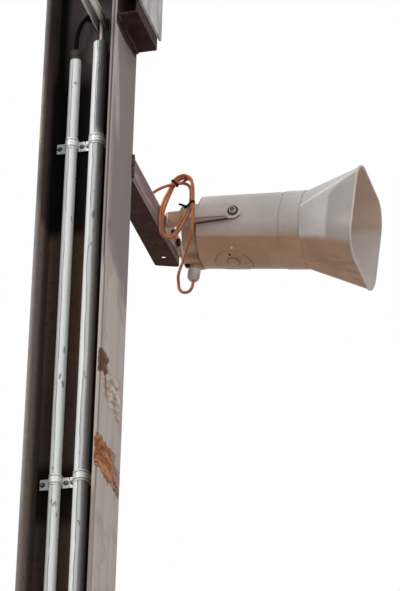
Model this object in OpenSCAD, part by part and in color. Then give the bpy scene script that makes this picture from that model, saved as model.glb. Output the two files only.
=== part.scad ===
// Siren mast: a rolled steel column on a base plate, with two conduits in
// its front recess, an arm with a yoke behind it and a horn on the yoke.
// Millimetres, +Z up, origin at the middle of the base plate's underside.
// +X runs from flange to flange and is the way the horn points; -Y is the
// side with the conduits.

/* [Column] */
// Height of the mast over its cap plate
mast_h = 6400; // [5000:10:8000]
// Depth of the section, from flange face to flange face
col_d = 161.8; // [120:0.1:220]
// Width of the flanges
col_w = 154.4; // [120:0.1:220]
// Flange thickness
flange_t = 11.5; // [8:0.1:20]
// Web thickness
web_t = 8; // [5:0.1:16]
// Root radius between web and flange
root_r = 7.6; // [4:0.1:14]
// Cap plate thickness
cap_t = 8; // [4:0.5:16]
// How far the cap plate stands out past the section
cap_lip = 4; // [0:0.5:15]

/* [Base] */
// Side of the square base plate
base_s = 320; // [240:5:500]
// Base plate thickness
base_t = 20; // [12:1:40]
// Distance between anchor bolts
anchor_pitch = 250; // [180:5:420]
// Anchor bolt diameter
anchor_d = 20; // [12:1:30]
// Anchor bolt height over the plate
anchor_up = 42; // [30:1:80]
// Nut width across flats
anchor_af = 30; // [18:1:46]
// Nut height
anchor_nut_h = 16; // [10:1:26]
// Washer diameter
anchor_washer_d = 37; // [24:1:56]
// Washer thickness
anchor_washer_t = 3; // [2:0.5:5]
// Leg of the fillet welds
weld_leg = 8; // [4:0.5:12]

/* [Conduits] */
// Outer diameter of the small conduit
small_d = 25; // [16:1:32]
// Outer diameter of the large conduit
large_d = 32; // [20:1:50]
// Conduit wall
pipe_wall = 1.6; // [1:0.1:3]
// Small conduit's place across the web
small_x = -26; // [-50:1:0]
// Large conduit's place across the web
large_x = 31; // [0:1:50]
// Top of the large conduit under the strut
large_drop = 48; // [35:1:120]
// Top of the small conduit under the strut
small_drop = 83; // [50:1:160]
// Bushing diameter on the small conduit
bush_d = 28; // [20:0.5:40]
// Bushing height over the conduit
bush_up = 22; // [10:1:40]
// Top row of saddles under the small conduit's top
saddle_drop = 215; // [60:5:600]
// Distance between rows of saddles
saddle_pitch = 810; // [500:10:1200]
// Height of a saddle
saddle_h = 24; // [12:1:40]
// Saddle sheet thickness
saddle_t = 1.5; // [1:0.1:3]
// Thickness of the bar behind a saddle
bar_t = 6; // [3:0.5:12]
// Height of the bar behind a saddle
bar_h = 16; // [8:1:30]
// Screw head diameter
screw_head_d = 8; // [5:0.5:12]
// Screw diameter
screw_d = 5; // [3:0.5:8]
// Left screw of the small saddles, from the conduit's middle
small_left = 30; // [20:1:40]
// Right screw of the small saddles
small_right = 20; // [18:1:40]
// Left screw of the large saddles
large_left = 23; // [22:1:40]
// Right screw of the large saddles
large_right = 24; // [22:1:40]
// Sheet past each screw's middle
ear_end = 6; // [4:0.5:10]

/* [Top brackets] */
// Bracket's top under the column's top
bracket_drop = 67; // [20:1:300]
// Bracket width across
bracket_w = 46; // [30:1:80]
// Bracket height
bracket_h = 100; // [50:5:160]
// Bracket wall
bracket_wall = 4; // [3:0.5:8]
// Pad plate thickness
pad_t = 5.5; // [3:0.5:12]
// Pad plate's lower edge over the bracket's underside
pad_up = 33; // [10:1:60]
// Pad plate height
pad_h = 110; // [60:5:160]
// How far the pad plate runs past the bracket at the back
pad_past = 14; // [0:1:40]
// Distance between the pad plate's holes
pad_pitch = 90; // [40:5:130]
// Radius of the pad plate's holes
pad_hole_r = 6; // [3:0.5:10]
// Pad plate's holes over the bracket
pad_hole_up = 22; // [12:1:30]
// Strut's top under the column's top
strut_drop = 121; // [90:1:300]
// Strut width
strut_w = 20; // [12:1:41]
// Strut height
strut_h = 33; // [15:1:50]
// Strut wall
strut_wall = 2.5; // [1.5:0.5:5]
// Strut's middle across the web
strut_x = 25; // [-40:1:40]
// Strut length from the web
strut_len = 136; // [80:1:300]
// Black cable's hole across the web
feed_hole_x = -3; // [-40:1:40]
// Black cable's hole over the strut's underside
feed_hole_up = 39; // [20:1:80]

/* [Arm] */
// Underside of the arm under the top of the mast
arm_drop = 500; // [400:10:1500]
// Width of the arm's flat leg
arm_flat = 51; // [30:1:80]
// Height of the arm's upright leg
arm_up = 62; // [40:1:90]
// Arm thickness
arm_t = 5; // [3:0.5:10]
// Arm length behind the flange, on its upright side
arm_len = 382.8; // [200:0.1:600]
// How much shorter the arm is on its free edge
arm_cut = 14; // [0:1:40]
// Radius of the arm's free corner
arm_corner = 8; // [2:1:20]
// Outer corner radius of the arm
arm_r = 4; // [1:0.5:5]
// Small hole's distance from the arm's end
hole_a_in = 107.8; // [50:0.1:300]
// Large hole's distance from the arm's end
hole_b_in = 42.8; // [25:0.1:200]
// Small hole radius
hole_a_r = 4; // [2:0.5:10]
// Large hole radius
hole_b_r = 6.5; // [2:0.5:12]
// Distance of both holes from the upright leg's outer face
hole_in = 24; // [12:1:40]

/* [Yoke] */
// Height of the yoke's back plate
yoke_h = 40; // [30:1:60]
// Middle of the back plate over the arm's underside
yoke_up = 46; // [25:1:60]
// Diameter of the eyes at the pivot
yoke_w = 38; // [26:1:50]
// Shoulder of the arms, from the arm's upright face
shoulder_out = 38; // [28:1:45]
// Top of the shoulder over the pivot
shoulder_up = 28; // [24:1:40]
// Blend at the shoulder
shoulder_r = 4; // [1:0.5:6]
// Place where the taper steepens, from the arm's upright face
knee_out = 80; // [60:1:90]
// Upper edge there over the pivot
knee_up = 23; // [18:0.5:24]
// Neck beside the eye
neck_out = 5; // [2:0.5:12]
// Upper edge of the neck over the pivot
neck_up = 8.5; // [5:0.5:12]
// Sheet thickness
yoke_t = 4; // [2:0.5:8]
// Gap between each yoke arm and the horn's side
yoke_gap = 5.5; // [5:0.5:20]
// Height of the pivot over the arm's underside
pivot_up = 50; // [30:1:80]
// Distance of the pivot from the arm's upright face
pivot_out = 157; // [100:1:250]
// Bend radius inside the sheet
yoke_bend = 4; // [2:0.5:10]
// Width of the lip along an arm's lower edge, at the bend
lip_root = 14; // [5:1:25]
// Width of the lip at its front end
lip_tip = 5; // [2:1:16]
// Lip thickness
lip_t = 3; // [1.5:0.5:5]
// Pivot bolt diameter
pivot_d = 8; // [5:1:12]
// Pivot bolt width across flats
pivot_af = 13; // [8:1:19]
// Pivot washer diameter
washer_d = 24; // [16:1:36]
// Pivot washer thickness
washer_t = 2; // [1:0.5:4]
// Fixing bolt diameter
fix_d = 10; // [6:1:14]
// Fixing bolt width across flats
fix_af = 17; // [10:1:24]
// Height of the fixing bolts over the arm's underside
fix_up = 42; // [25:1:60]
// Distance between the two fixing bolts
fix_pitch = 40; // [25:1:80]
// Nut height
fix_nut_h = 8; // [5:0.5:12]

/* [Horn] */
// Horn's middle from the arm's end
horn_in = 35; // [20:1:80]
// Tilt below level
tilt = 5.8; // [-20:0.1:30]
// Body radius at the back
body_r0 = 81; // [50:0.5:120]
// Body radius at the front
body_r1 = 87; // [50:0.5:130]
// Back of the body behind the pivot
body_back = 88; // [50:1:150]
// Seam in front of the pivot
seam_s = 104; // [50:1:150]
// How far the collar stands proud at its front
collar_up = 1; // [0:0.5:4]
// Start of the flare in front of the pivot
flare_s = 150; // [80:1:220]
// Step down from the collar to the flare
flare_step = 1.5; // [0.5:0.5:5]
// Mouth in front of the pivot
mouth_s = 283; // [180:1:400]
// Half height of the mouth
mouth_h = 113; // [90:1:160]
// Half width of the mouth
mouth_w = 121; // [90:1:160]
// Corner radius of the mouth
mouth_r = 57; // [10:1:90]
// Rim height over the flare
rim_up = 1; // [0.5:0.5:6]
// Rim length
rim_len = 4; // [3:0.5:12]
// Wall of the body
horn_t = 4; // [2:0.5:8]
// Wall of the flare
flare_t = 3; // [2:0.5:8]
// Radius of the hole in the throat plate
throat_r = 22; // [10:1:50]
// Throat plate thickness
throat_t = 5; // [2:0.5:10]
// Throat plate's place in front of the seam
throat_in = 8; // [2:1:30]
// Pivot boss diameter
boss_d = 30; // [20:1:40]
// Rear cap radius
cap_r = 65; // [50:1:75]
// Rear cap depth
cap_depth = 39; // [30:1:45]
// Rear cap edge radius
cap_edge = 8; // [2:1:20]
// Depth of the chin under the cap
chin_depth = 38; // [34:1:42]
// Width of the chin
chin_w = 35; // [30:1:60]
// Underside of the chin below the horn's axis
chin_low = 82.5; // [75:0.5:90]
// Edge radius of the chin
chin_r = 5; // [1:0.5:10]

/* [Gland and cables] */
// Gland behind the pivot
gland_s = 101.5; // [100:0.5:104]
// Gland neck diameter
neck_d = 19; // [14:0.5:19]
// Gland neck length
neck_len = 14; // [6:1:20]
// Gland nut diameter
gland_d = 28; // [22:1:32]
// Gland nut length
gland_len = 26; // [14:1:36]
// Length of the nut's dome
dome_len = 9; // [4:1:14]
// Blanking plug diameter
plug_d = 12; // [8:1:14]
// Blanking plug's height
plug_up = 3; // [1:0.5:5]
// Orange cable diameter
cable_d = 7; // [4:0.5:12]
// Black cable diameter
feed_d = 9; // [5:0.5:14]
// Width of a cable tie
tie_w = 4.5; // [2:0.5:9]
// Thickness of a cable tie
tie_t = 1.4; // [0.8:0.1:3]
// Clearance inside a cable tie
tie_gap = 0.4; // [0.1:0.1:3]
// Length of a cable tie's tail
tie_tail = 20; // [5:1:60]

/* [Hidden] */
$fn = 48;
e = 0.3;
run = 0.05;
half_d = col_d / 2;
half_w = col_w / 2;
web_y = web_t / 2;
col_top = mast_h - cap_t;
bracket_z = col_top - bracket_drop - bracket_h;
strut_z = col_top - strut_drop - strut_h;
feed_hole_z = strut_z + feed_hole_up;
arm_z = mast_h - arm_drop;
large_top = strut_z - large_drop;
small_top = strut_z - small_drop;
saddle_top = small_top - saddle_drop;
saddle_rows = floor((saddle_top - 150) / saddle_pitch) + 1;
small_y = -(web_y + bar_t + small_d / 2);
large_y = -(web_y + bar_t + large_d / 2);
ear_y = -(web_y + bar_t);
anchor_at = anchor_pitch / 2;
arm_end = half_w + arm_len;
horn_y = arm_end - horn_in;
pivot_x = half_d + pivot_out;
pivot_z = arm_z + pivot_up;
side_r = body_r0 + (body_r1 - body_r0) * body_back / (flare_s + body_back);
yoke_in = side_r + yoke_gap;
yoke_out = yoke_in + yoke_t;
yoke_low = yoke_up - yoke_h / 2 - pivot_up;
strut_hole_z = strut_z + strut_h - strut_wall - 12.5;
bracket_out = half_d + bracket_w;
hexs = 2 / sqrt(3);
feed_hole_r = feed_d / 2 + 3.5;
cable_hole_r = cable_d / 2 + 3.5;
cable_gap = 0.5;
flare_r = body_r1 + collar_up - flare_step;
plug_s = body_back + chin_depth - plug_d / 2 - 1;
saddle_screws_x = [small_x - small_left, small_x + small_right,
                   large_x - large_left, large_x + large_right];

// The orange cable's points, with heights over the arm's underside: out of
// the large conduit, through the web inside the strut, down the back of the
// web, along the arm and over its upright leg.
rise_pts = [
  [31, -26, 262], [31, -26, 310], [30, -26, 332], [27, -19, 350],
  [25, -7, 355.5], [25, 7, 355.5], [27, 19, 350], [28, 33, 331],
  [28, 37, 300], [28, 37, 130], [33, 48, 60], [46, 78, 20], [58, 116, 11],
  [60, 180, 11], [62, 222, 22], [67, 241, 50], [78, 258, 76]
];
// Twice round the loop and over its top once more.
loop_pts = [
  [92, 274, 95], [105, 287, 107], [117, 300, 116], [129, 308, 121],
  [140, 311, 116], [146, 311, 103], [146, 311, 70], [140, 311, 50],
  [120, 311, 10], [112, 310, -6], [101, 308, -12], [90, 304, -8],
  [86, 300, 4], [86, 298, 26], [89, 300, 54], [96, 303, 81],
  [104, 305, 105], [112, 305, 121], [124, 305, 131], [138, 305, 131],
  [149, 304, 121], [153, 304, 105], [154, 304, 70], [149, 303, 48],
  [128, 303, 3], [118, 302, -13], [107, 299, -22], [95, 293, -21],
  [88, 287, -11], [86, 283, 4], [86, 282, 23], [88, 283, 48],
  [93, 289, 74], [101, 295, 98], [109, 296, 120], [120, 296, 131],
  [134, 296, 134], [147, 296, 126], [153, 296, 111], [155, 296, 72]
];
// Down past the yoke and up into the gland.
drop_pts = [
  [157.5, 296, 36], [156, 298, -2], [150, 304, -26], [140, 316, -45],
  [126, 341, -55], [110, 375, -53], [98, 402, -51], [92.5, 416, -55],
  [91.5, 424, -66], [93, 426, -78], [99, 427, -86], [108, 427, -89],
  [117, 426.5, -86], [122.5, 425.5, -78], [124.4, 425, -67],
  [125.2, 425, -56]
];
// The black cable: out of the small conduit's bushing into the web.
feed_pts = [
  [-26, -22.5, 240], [-26, -22.5, 282], [-25.5, -23.5, 304],
  [-23, -25, 324], [-18, -25, 342], [-12, -22, 358], [-6, -15, 372],
  [-3, -6, 377], [-3, 5, 377]
];
// Where the strands cross each tie: the tie's own place, and the strands
// from there. A strand that crosses its tie aslant has two points.
side_tie = [150, 304, 61];
side_strands = [[-7.3, 7], [-6, 7], [2.2, -0.4], [5.8, -8]];
top_tie = [111, 298, 119];
top_strands = [[-0.2, 7.2], [6.6, 3], [5.8, -2.6], [-2.1, -2.2]];

function unit(v) = v / norm(v);
function tangents(q) = [
  for (i = [0:len(q) - 1])
    unit(q[min(i + 1, len(q) - 1)] - q[max(i - 1, 0)])
];
function sides(t, i, u) =
  i >= len(t) ? [] :
  let (w = unit(u - (u * t[i]) * t[i]))
  concat([w], sides(t, i + 1, w));

// Round cable of radius r through the points p, with n sides.
module tube(p, r, n) {
  t = tangents(p);
  u = sides(t, 0, [0.3, 1, 0.1]);
  v = [for (i = [0:len(p) - 1]) cross(t[i], u[i])];
  m = len(p);
  polyhedron(
    points = [
      for (i = [0:m - 1]) for (k = [0:n - 1])
        p[i] + r * (cos(360 * k / n) * u[i] + sin(360 * k / n) * v[i])
    ],
    faces = concat(
      [[for (k = [0:n - 1]) k]],
      [for (i = [0:m - 2]) for (k = [0:n - 1])
        [i * n + k, (i + 1) * n + k,
         (i + 1) * n + (k + 1) % n, i * n + (k + 1) % n]],
      [[for (k = [n - 1:-1:0]) (m - 1) * n + k]]
    )
  );
}

// Stands a shape on the horn's axis: its Z runs forward, its X down.
module on_horn() {
  translate([pivot_x, horn_y, pivot_z]) rotate([0, 90 + tilt, 0])
    children();
}

// Ring of points at one place along the flare: a rectangle of half height h
// and half width w with corner radius r.
function ring(h, w, r, z, n) = [
  for (k = [0:3]) for (j = [0:n - 1])
    let (a = 90 * k + 90 * j / (n - 1),
         c = [[1, 1], [-1, 1], [-1, -1], [1, -1]][k])
    [c[0] * (h - r) + r * cos(a), c[1] * (w - r) + r * sin(a), z]
];

// Column and base

module section() {
  difference() {
    square([col_d, col_w], center = true);
    for (s = [-1, 1]) hull() for (x = [-1, 1]) {
      translate([x * (half_d - flange_t - root_r), s * (web_y + root_r)])
        circle(root_r, $fn = 32);
      translate([x * (half_d - flange_t - 1), s * (half_w + 1)])
        square(2, center = true);
    }
  }
}

module base_plate() {
  color([0.45, 0.44, 0.43]) difference() {
    translate([0, 0, base_t / 2])
      cube([base_s, base_s, base_t], center = true);
    for (x = [-1, 1]) for (y = [-1, 1])
      translate([x * anchor_at, y * anchor_at, -1])
        cylinder(r = anchor_d / 2 + 1, h = base_t + 2);
    translate([small_x, small_y, -1])
      cylinder(r = small_d / 2 + 1, h = base_t + 2);
    translate([large_x, large_y, -1])
      cylinder(r = large_d / 2 + 1, h = base_t + 2);
  }
}

module column() {
  color([0.5, 0.48, 0.47]) difference() {
    translate([0, 0, base_t]) linear_extrude(col_top - base_t) section();
    translate([feed_hole_x, 0, feed_hole_z]) rotate([90, 0, 0])
      cylinder(r = feed_hole_r, h = 4 * web_t, center = true, $fn = 32);
    translate([strut_x, 0, strut_hole_z]) rotate([90, 0, 0])
      cylinder(r = cable_hole_r, h = 4 * web_t, center = true, $fn = 32);
  }
}

module cap_plate() {
  color([0.5, 0.48, 0.47]) translate([0, 0, col_top + cap_t / 2])
    cube([col_d + 2 * cap_lip, col_w + 2 * cap_lip, cap_t], center = true);
}

module base_weld() {
  color([0.35, 0.34, 0.33])
    for (s = [-1, 1]) translate([s * half_d, 0, base_t])
      rotate([90, 0, 0]) linear_extrude(col_w, center = true)
        polygon([[0, 0], [s * weld_leg, 0], [0, weld_leg]]);
}

module at_anchors() {
  for (x = [-1, 1]) for (y = [-1, 1])
    translate([x * anchor_at, y * anchor_at, 0]) children();
}

module anchor_bolts() {
  color([0.6, 0.6, 0.6]) at_anchors()
    cylinder(r = anchor_d / 2, h = base_t + anchor_up);
}

module anchor_washers() {
  color([0.62, 0.62, 0.62]) at_anchors() translate([0, 0, base_t])
    difference() {
      cylinder(r = anchor_washer_d / 2, h = anchor_washer_t);
      translate([0, 0, -1]) cylinder(r = anchor_d / 2, h = 9);
    }
}

module anchor_nuts() {
  color([0.62, 0.62, 0.62]) at_anchors()
    translate([0, 0, base_t + anchor_washer_t]) difference() {
      cylinder(r = anchor_af / 2 * hexs, h = anchor_nut_h, $fn = 6);
      translate([0, 0, -1])
        cylinder(r = anchor_d / 2, h = anchor_nut_h + 2);
    }
}

// Conduits

module pipe(x, y, d, top) {
  color([0.8, 0.82, 0.82]) translate([x, y, 0]) difference() {
    cylinder(r = d / 2, h = top);
    translate([0, 0, -1]) cylinder(r = d / 2 - pipe_wall, h = top + 2);
  }
}

module conduit_small() { pipe(small_x, small_y, small_d, small_top); }

module conduit_large() { pipe(large_x, large_y, large_d, large_top); }

module conduit_bushing() {
  color([0.42, 0.37, 0.35]) translate([small_x, small_y, small_top])
    difference() {
      cylinder(r = bush_d / 2, h = bush_up);
      translate([0, 0, -1])
        cylinder(r = feed_d / 2 + e, h = bush_up + 2);
    }
}

module at_rows() {
  for (k = [0:saddle_rows - 1])
    translate([0, 0, saddle_top - k * saddle_pitch]) children();
}

// Sheet saddle over a conduit at [x, y], with its screws left and right.
module saddle(x, y, d, left, right) {
  r = d / 2;
  difference() {
    linear_extrude(saddle_h, center = true) difference() {
      union() {
        translate([x, y]) circle(r + saddle_t, $fn = 40);
        translate([x - r - saddle_t, y])
          square([d + 2 * saddle_t, ear_y - y]);
        translate([x - left - ear_end, ear_y - saddle_t])
          square([left + right + 2 * ear_end, saddle_t]);
      }
      translate([x - d, ear_y]) square(2 * d);
      translate([x, y]) circle(r, $fn = 40);
      translate([x - r, y]) square([d, ear_y - y + 1]);
    }
    for (s = [-left, right]) translate([x + s, ear_y, 0])
      rotate([90, 0, 0])
        cylinder(r = screw_d / 2, h = 9, center = true, $fn = 16);
  }
}

module spacer_bars() {
  start = saddle_screws_x[0] - ear_end;
  color([0.7, 0.71, 0.71]) at_rows() difference() {
    translate([start, ear_y, -bar_h / 2])
      cube([saddle_screws_x[3] + ear_end - start, bar_t, bar_h]);
    for (x = saddle_screws_x) translate([x, ear_y, 0])
      rotate([90, 0, 0])
        cylinder(r = screw_d / 2, h = 20, center = true, $fn = 16);
  }
}

module saddles_small() {
  color([0.85, 0.86, 0.86]) at_rows()
    saddle(small_x, small_y, small_d, small_left, small_right);
}

module saddles_large() {
  color([0.85, 0.86, 0.86]) at_rows()
    saddle(large_x, large_y, large_d, large_left, large_right);
}

module saddle_screws() {
  color([0.6, 0.6, 0.6]) at_rows() for (x = saddle_screws_x)
    translate([x, ear_y - saddle_t, 0]) rotate([90, 0, 0]) {
      cylinder(r = screw_head_d / 2, h = 2.5, $fn = 16);
      translate([0, 0, -saddle_t - bar_t])
        cylinder(r = screw_d / 2, h = saddle_t + bar_t + 1, $fn = 16);
    }
}

// Brackets at the top

module upper_bracket() {
  color([0.36, 0.26, 0.24])
    translate([half_d + bracket_w / 2, 0, bracket_z + bracket_h / 2])
      difference() {
        cube([bracket_w, col_w, bracket_h], center = true);
        cube([bracket_w - 2 * bracket_wall, col_w + 2,
              bracket_h - 2 * bracket_wall], center = true);
      }
}

module bracket_weld() {
  color([0.3, 0.2, 0.18]) {
    translate([half_d, 0, bracket_z]) rotate([90, 0, 0])
      linear_extrude(col_w - 6, center = true)
        polygon([[0, 0], [7, 0], [0, -5]]);
    translate([half_d, 0, bracket_z + bracket_h]) rotate([90, 0, 0])
      linear_extrude(col_w - 6, center = true)
        polygon([[0, 0], [7, 0], [0, 5]]);
  }
}

module bracket_pad() {
  color([0.72, 0.69, 0.68]) difference() {
    translate([bracket_out, -half_w, bracket_z + pad_up])
      cube([pad_t, col_w + pad_past, pad_h]);
    for (s = [-1, 1])
      translate([bracket_out, s * pad_pitch / 2,
                 bracket_z + bracket_h + pad_hole_up]) rotate([0, 90, 0])
        cylinder(r = pad_hole_r, h = 4 * pad_t, center = true, $fn = 32);
  }
}

module front_strut() {
  color([0.72, 0.7, 0.68])
    translate([strut_x, -web_y, strut_z]) rotate([90, 0, 0])
      linear_extrude(strut_len) difference() {
        translate([-strut_w / 2, 0]) square([strut_w, strut_h]);
        translate([-strut_w / 2 + strut_wall, -1])
          square([strut_w - 2 * strut_wall, strut_h - strut_wall + 1]);
      }
}

module strut_weld() {
  color([0.36, 0.27, 0.24])
    for (s = [-1, 1])
      translate([strut_x + s * strut_w / 2, -web_y, strut_z + 2])
        linear_extrude(strut_h - 4)
          polygon([[0, 0], [s * 5, 0], [0, -5]]);
}

module grommet(x, z, r, cable_r) {
  translate([x, 0, z]) rotate([90, 0, 0]) difference() {
    union() {
      cylinder(r = r, h = web_t, center = true, $fn = 32);
      for (s = [-1, 1]) translate([0, 0, s * (web_y + 1)])
        cylinder(r = r + (r < 8 ? 0.2 : 3), h = 2, center = true, $fn = 32);
    }
    cylinder(r = cable_r + cable_gap, h = 4 * web_t, center = true,
             $fn = 32);
  }
}

module web_grommets() {
  color([0.12, 0.11, 0.11]) {
    grommet(feed_hole_x, feed_hole_z, feed_hole_r, feed_d / 2);
    grommet(strut_x, strut_hole_z, cable_hole_r, cable_d / 2);
  }
}

// Arm and yoke

module at_fixings() {
  for (k = [0, 1])
    translate([half_d, horn_y - k * fix_pitch, arm_z + fix_up])
      rotate([0, 90, 0]) children();
}

module fixing_holes() {
  at_fixings() cylinder(r = fix_d / 2, h = 30, center = true, $fn = 32);
}

// Rolled angle: its upright leg is on the flange's outer face, its flat leg
// below, and its end is cut aslant.
module arm_angle() {
  color([0.55, 0.51, 0.48]) difference() {
    intersection() {
      translate([half_d, arm_end, arm_z]) rotate([90, 0, 0])
        linear_extrude(arm_len) difference() {
          hull() {
            translate([-arm_flat, 0]) square([1, arm_t]);
            translate([-1, arm_up - 1]) square(1);
            translate([-arm_r, arm_r]) circle(arm_r, $fn = 32);
          }
          translate([-arm_flat - 1, arm_t])
            square([arm_flat + 1 - arm_t, arm_up]);
        }
      translate([half_d, half_w, arm_z - 1]) linear_extrude(arm_up + 2)
        hull() {
          translate([-arm_flat, 0]) square([arm_flat, 1]);
          translate([-arm_flat + arm_corner,
                     arm_len - arm_cut - arm_corner])
            circle(arm_corner);
          translate([-arm_t, arm_len - 1]) square([arm_t, 1]);
        }
    }
    translate([half_d - hole_in, arm_end - hole_a_in, arm_z])
      cylinder(r = hole_a_r, h = 30, center = true, $fn = 32);
    translate([half_d - hole_in, arm_end - hole_b_in, arm_z])
      cylinder(r = hole_b_r, h = 30, center = true, $fn = 32);
    fixing_holes();
  }
}

module arm_weld() {
  color([0.78, 0.74, 0.7])
    translate([half_d, half_w, arm_z + 2]) linear_extrude(arm_up - 4)
      polygon([[0, -6], [3, -5], [5, -1], [5, 3], [3, 7], [0, 8]]);
}

// Plan of the yoke's sheet: a U whose outside is y from the middle.
module yoke_plan(y, r) {
  hull() {
    for (s = [-1, 1])
      translate([yoke_bend + yoke_t, s * (y - r)]) circle(r, $fn = 32);
    translate([pivot_out + yoke_w, -y]) square([1, 2 * y]);
  }
}

// Seen from the side: low at the back plate, then a shoulder, and a taper
// down to the neck of the round eye.
module yoke_side() {
  polygon([
    [0, yoke_low], [pivot_out, -yoke_w / 2], [pivot_out, neck_up],
    [pivot_out - yoke_w / 2 - neck_out, neck_up],
    [knee_out, knee_up], [shoulder_out + shoulder_r, shoulder_up],
    [shoulder_out, shoulder_up - shoulder_r],
    [shoulder_out - shoulder_r, yoke_low + yoke_h], [0, yoke_low + yoke_h]
  ]);
  translate([pivot_out, 0]) circle(yoke_w / 2);
}

// Bent sheet: a back plate, arms that taper to round eyes at the pivot, and
// a lip turned out along each arm's lower edge.
module yoke() {
  color([0.78, 0.76, 0.73]) difference() {
    translate([half_d, horn_y, pivot_z]) {
      intersection() {
        translate([0, 0, -yoke_h]) linear_extrude(2 * yoke_h)
          difference() {
            yoke_plan(yoke_out, yoke_bend + yoke_t);
            yoke_plan(yoke_in, yoke_bend);
          }
        rotate([90, 0, 0])
          linear_extrude(2 * yoke_out + 2, center = true) yoke_side();
      }
      for (s = [0, 1]) mirror([0, s, 0]) hull() {
        translate([yoke_bend + yoke_t, yoke_out - 1, yoke_low])
          cube([1, lip_root + 1, lip_t]);
        translate([pivot_out - 12, yoke_out - 1, -yoke_w / 2])
          cube([1, lip_tip + 1, lip_t]);
      }
    }
    translate([pivot_x, horn_y, pivot_z]) rotate([90, 0, 0])
      cylinder(r = pivot_d / 2 + run, h = 300, center = true, $fn = 32);
    fixing_holes();
  }
}

module yoke_bolts() {
  color([0.4, 0.4, 0.4]) at_fixings() {
    translate([0, 0, yoke_t])
      cylinder(r = fix_af / 2 * hexs, h = 6.4, $fn = 6);
    translate([0, 0, -arm_t - fix_nut_h - 4])
      cylinder(r = fix_d / 2, h = arm_t + fix_nut_h + 5 + yoke_t,
               $fn = 32);
  }
}

module yoke_nuts() {
  color([0.4, 0.4, 0.4]) at_fixings()
    translate([0, 0, -arm_t - fix_nut_h]) difference() {
      cylinder(r = fix_af / 2 * hexs, h = fix_nut_h, $fn = 6);
      translate([0, 0, -1])
        cylinder(r = fix_d / 2, h = fix_nut_h + 2, $fn = 32);
    }
}

// Horn

module at_pivots() {
  translate([pivot_x, horn_y, pivot_z])
    for (s = [-1, 1]) rotate([s * 90, 0, 0]) children();
}

module body_cone(inset, back, length) {
  translate([0, 0, -body_back + back])
    cylinder(r1 = body_r0 - inset, r2 = body_r1 - inset, h = length,
             $fn = 96);
}

module pivot_bolts() {
  color([0.55, 0.55, 0.55]) at_pivots() {
    translate([0, 0, yoke_out + washer_t])
      cylinder(r = pivot_af / 2 * hexs, h = 5.3, $fn = 6);
    translate([0, 0, side_r - 10])
      cylinder(r = pivot_d / 2, h = 11 + yoke_gap + yoke_t + washer_t,
               $fn = 32);
  }
}

module pivot_washers() {
  color([0.7, 0.7, 0.7]) at_pivots() translate([0, 0, yoke_out + e])
    difference() {
      cylinder(r = washer_d / 2, h = washer_t - e, $fn = 40);
      translate([0, 0, -1]) cylinder(r = pivot_d / 2, h = 6, $fn = 32);
    }
}

module pivot_bosses() {
  color([0.8, 0.78, 0.74]) difference() {
    at_pivots() translate([0, 0, side_r - 6]) difference() {
      cylinder(r = boss_d / 2, h = yoke_gap + 6 - e, $fn = 40);
      translate([0, 0, -1]) cylinder(r = pivot_d / 2, h = 30, $fn = 32);
    }
    on_horn() body_cone(0, 0, body_back + flare_s);
  }
}

module horn_body() {
  color([0.8, 0.78, 0.74]) difference() {
    on_horn() difference() {
      body_cone(0, 0, body_back + flare_s);
      body_cone(horn_t, horn_t, body_back + flare_s);
      translate([0, 0, seam_s]) cylinder(r = 200, h = 200);
    }
    at_pivots() cylinder(r = pivot_d / 2, h = 150, $fn = 32);
  }
}

module horn_collar() {
  color([0.82, 0.8, 0.76]) on_horn() translate([0, 0, seam_s])
    difference() {
      cylinder(r1 = body_r1, r2 = body_r1 + collar_up,
               h = flare_s - seam_s, $fn = 96);
      translate([0, 0, -1])
        cylinder(r = body_r1 - horn_t, h = 100, $fn = 96);
    }
}

module throat_plate() {
  color([0.7, 0.67, 0.63]) on_horn()
    translate([0, 0, seam_s + throat_in]) difference() {
      cylinder(r = body_r1 - horn_t, h = throat_t, $fn = 96);
      translate([0, 0, -1]) cylinder(r = throat_r, h = throat_t + 2);
    }
}

// The flare goes from a circle to a rectangle with round corners, and its
// surface is made of straight lines from one to the other.
module flare_skin(inset, z0, z1) {
  n = 25;
  per = 4 * n;
  r = flare_r - inset;
  polyhedron(
    points = concat(
      ring(r, r, r, z0, n),
      ring(mouth_h - inset, mouth_w - inset, mouth_r - inset, z1, n)),
    faces = concat(
      [[for (k = [0:per - 1]) k]],
      [for (k = [0:per - 1])
        each [[k, per + k, (k + 1) % per],
              [(k + 1) % per, per + k, per + (k + 1) % per]]],
      [[for (k = [per - 1:-1:0]) per + k]]));
}

module horn_flare() {
  color([0.82, 0.8, 0.76]) on_horn() difference() {
    union() {
      flare_skin(0, flare_s, mouth_s);
      translate([0, 0, mouth_s - rim_len]) linear_extrude(rim_len)
        offset(r = mouth_r + rim_up)
          square([2 * (mouth_h - mouth_r), 2 * (mouth_w - mouth_r)],
                 center = true);
    }
    flare_skin(flare_t, flare_s - 0.1, mouth_s + 0.1);
  }
}

module at_gland(low) {
  on_horn() translate([low, 0, -gland_s]) rotate([0, 90, 0]) children();
}

// Round cap with a square chin under it for the cable entry.
module rear_cap() {
  color([0.8, 0.78, 0.74]) difference() {
    on_horn() {
      translate([0, 0, -body_back - cap_depth]) rotate_extrude($fn = 96)
        hull() {
          square([1, cap_depth]);
          translate([cap_r - 1, cap_depth - 1]) square(1);
          translate([cap_r - cap_edge, cap_edge]) circle(cap_edge);
        }
      translate([chin_low / 2, 0, -body_back - chin_depth])
        linear_extrude(chin_depth) offset(r = chin_r)
          square([chin_low - 2 * chin_r, chin_w - 2 * chin_r],
                 center = true);
    }
    at_gland(chin_low - 20) cylinder(r = neck_d / 2 - 2, h = 40);
    on_horn() translate([chin_low - 8, 0, -plug_s]) rotate([0, 90, 0])
      cylinder(r = plug_d / 2 - 2, h = 20, $fn = 32);
  }
}

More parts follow.
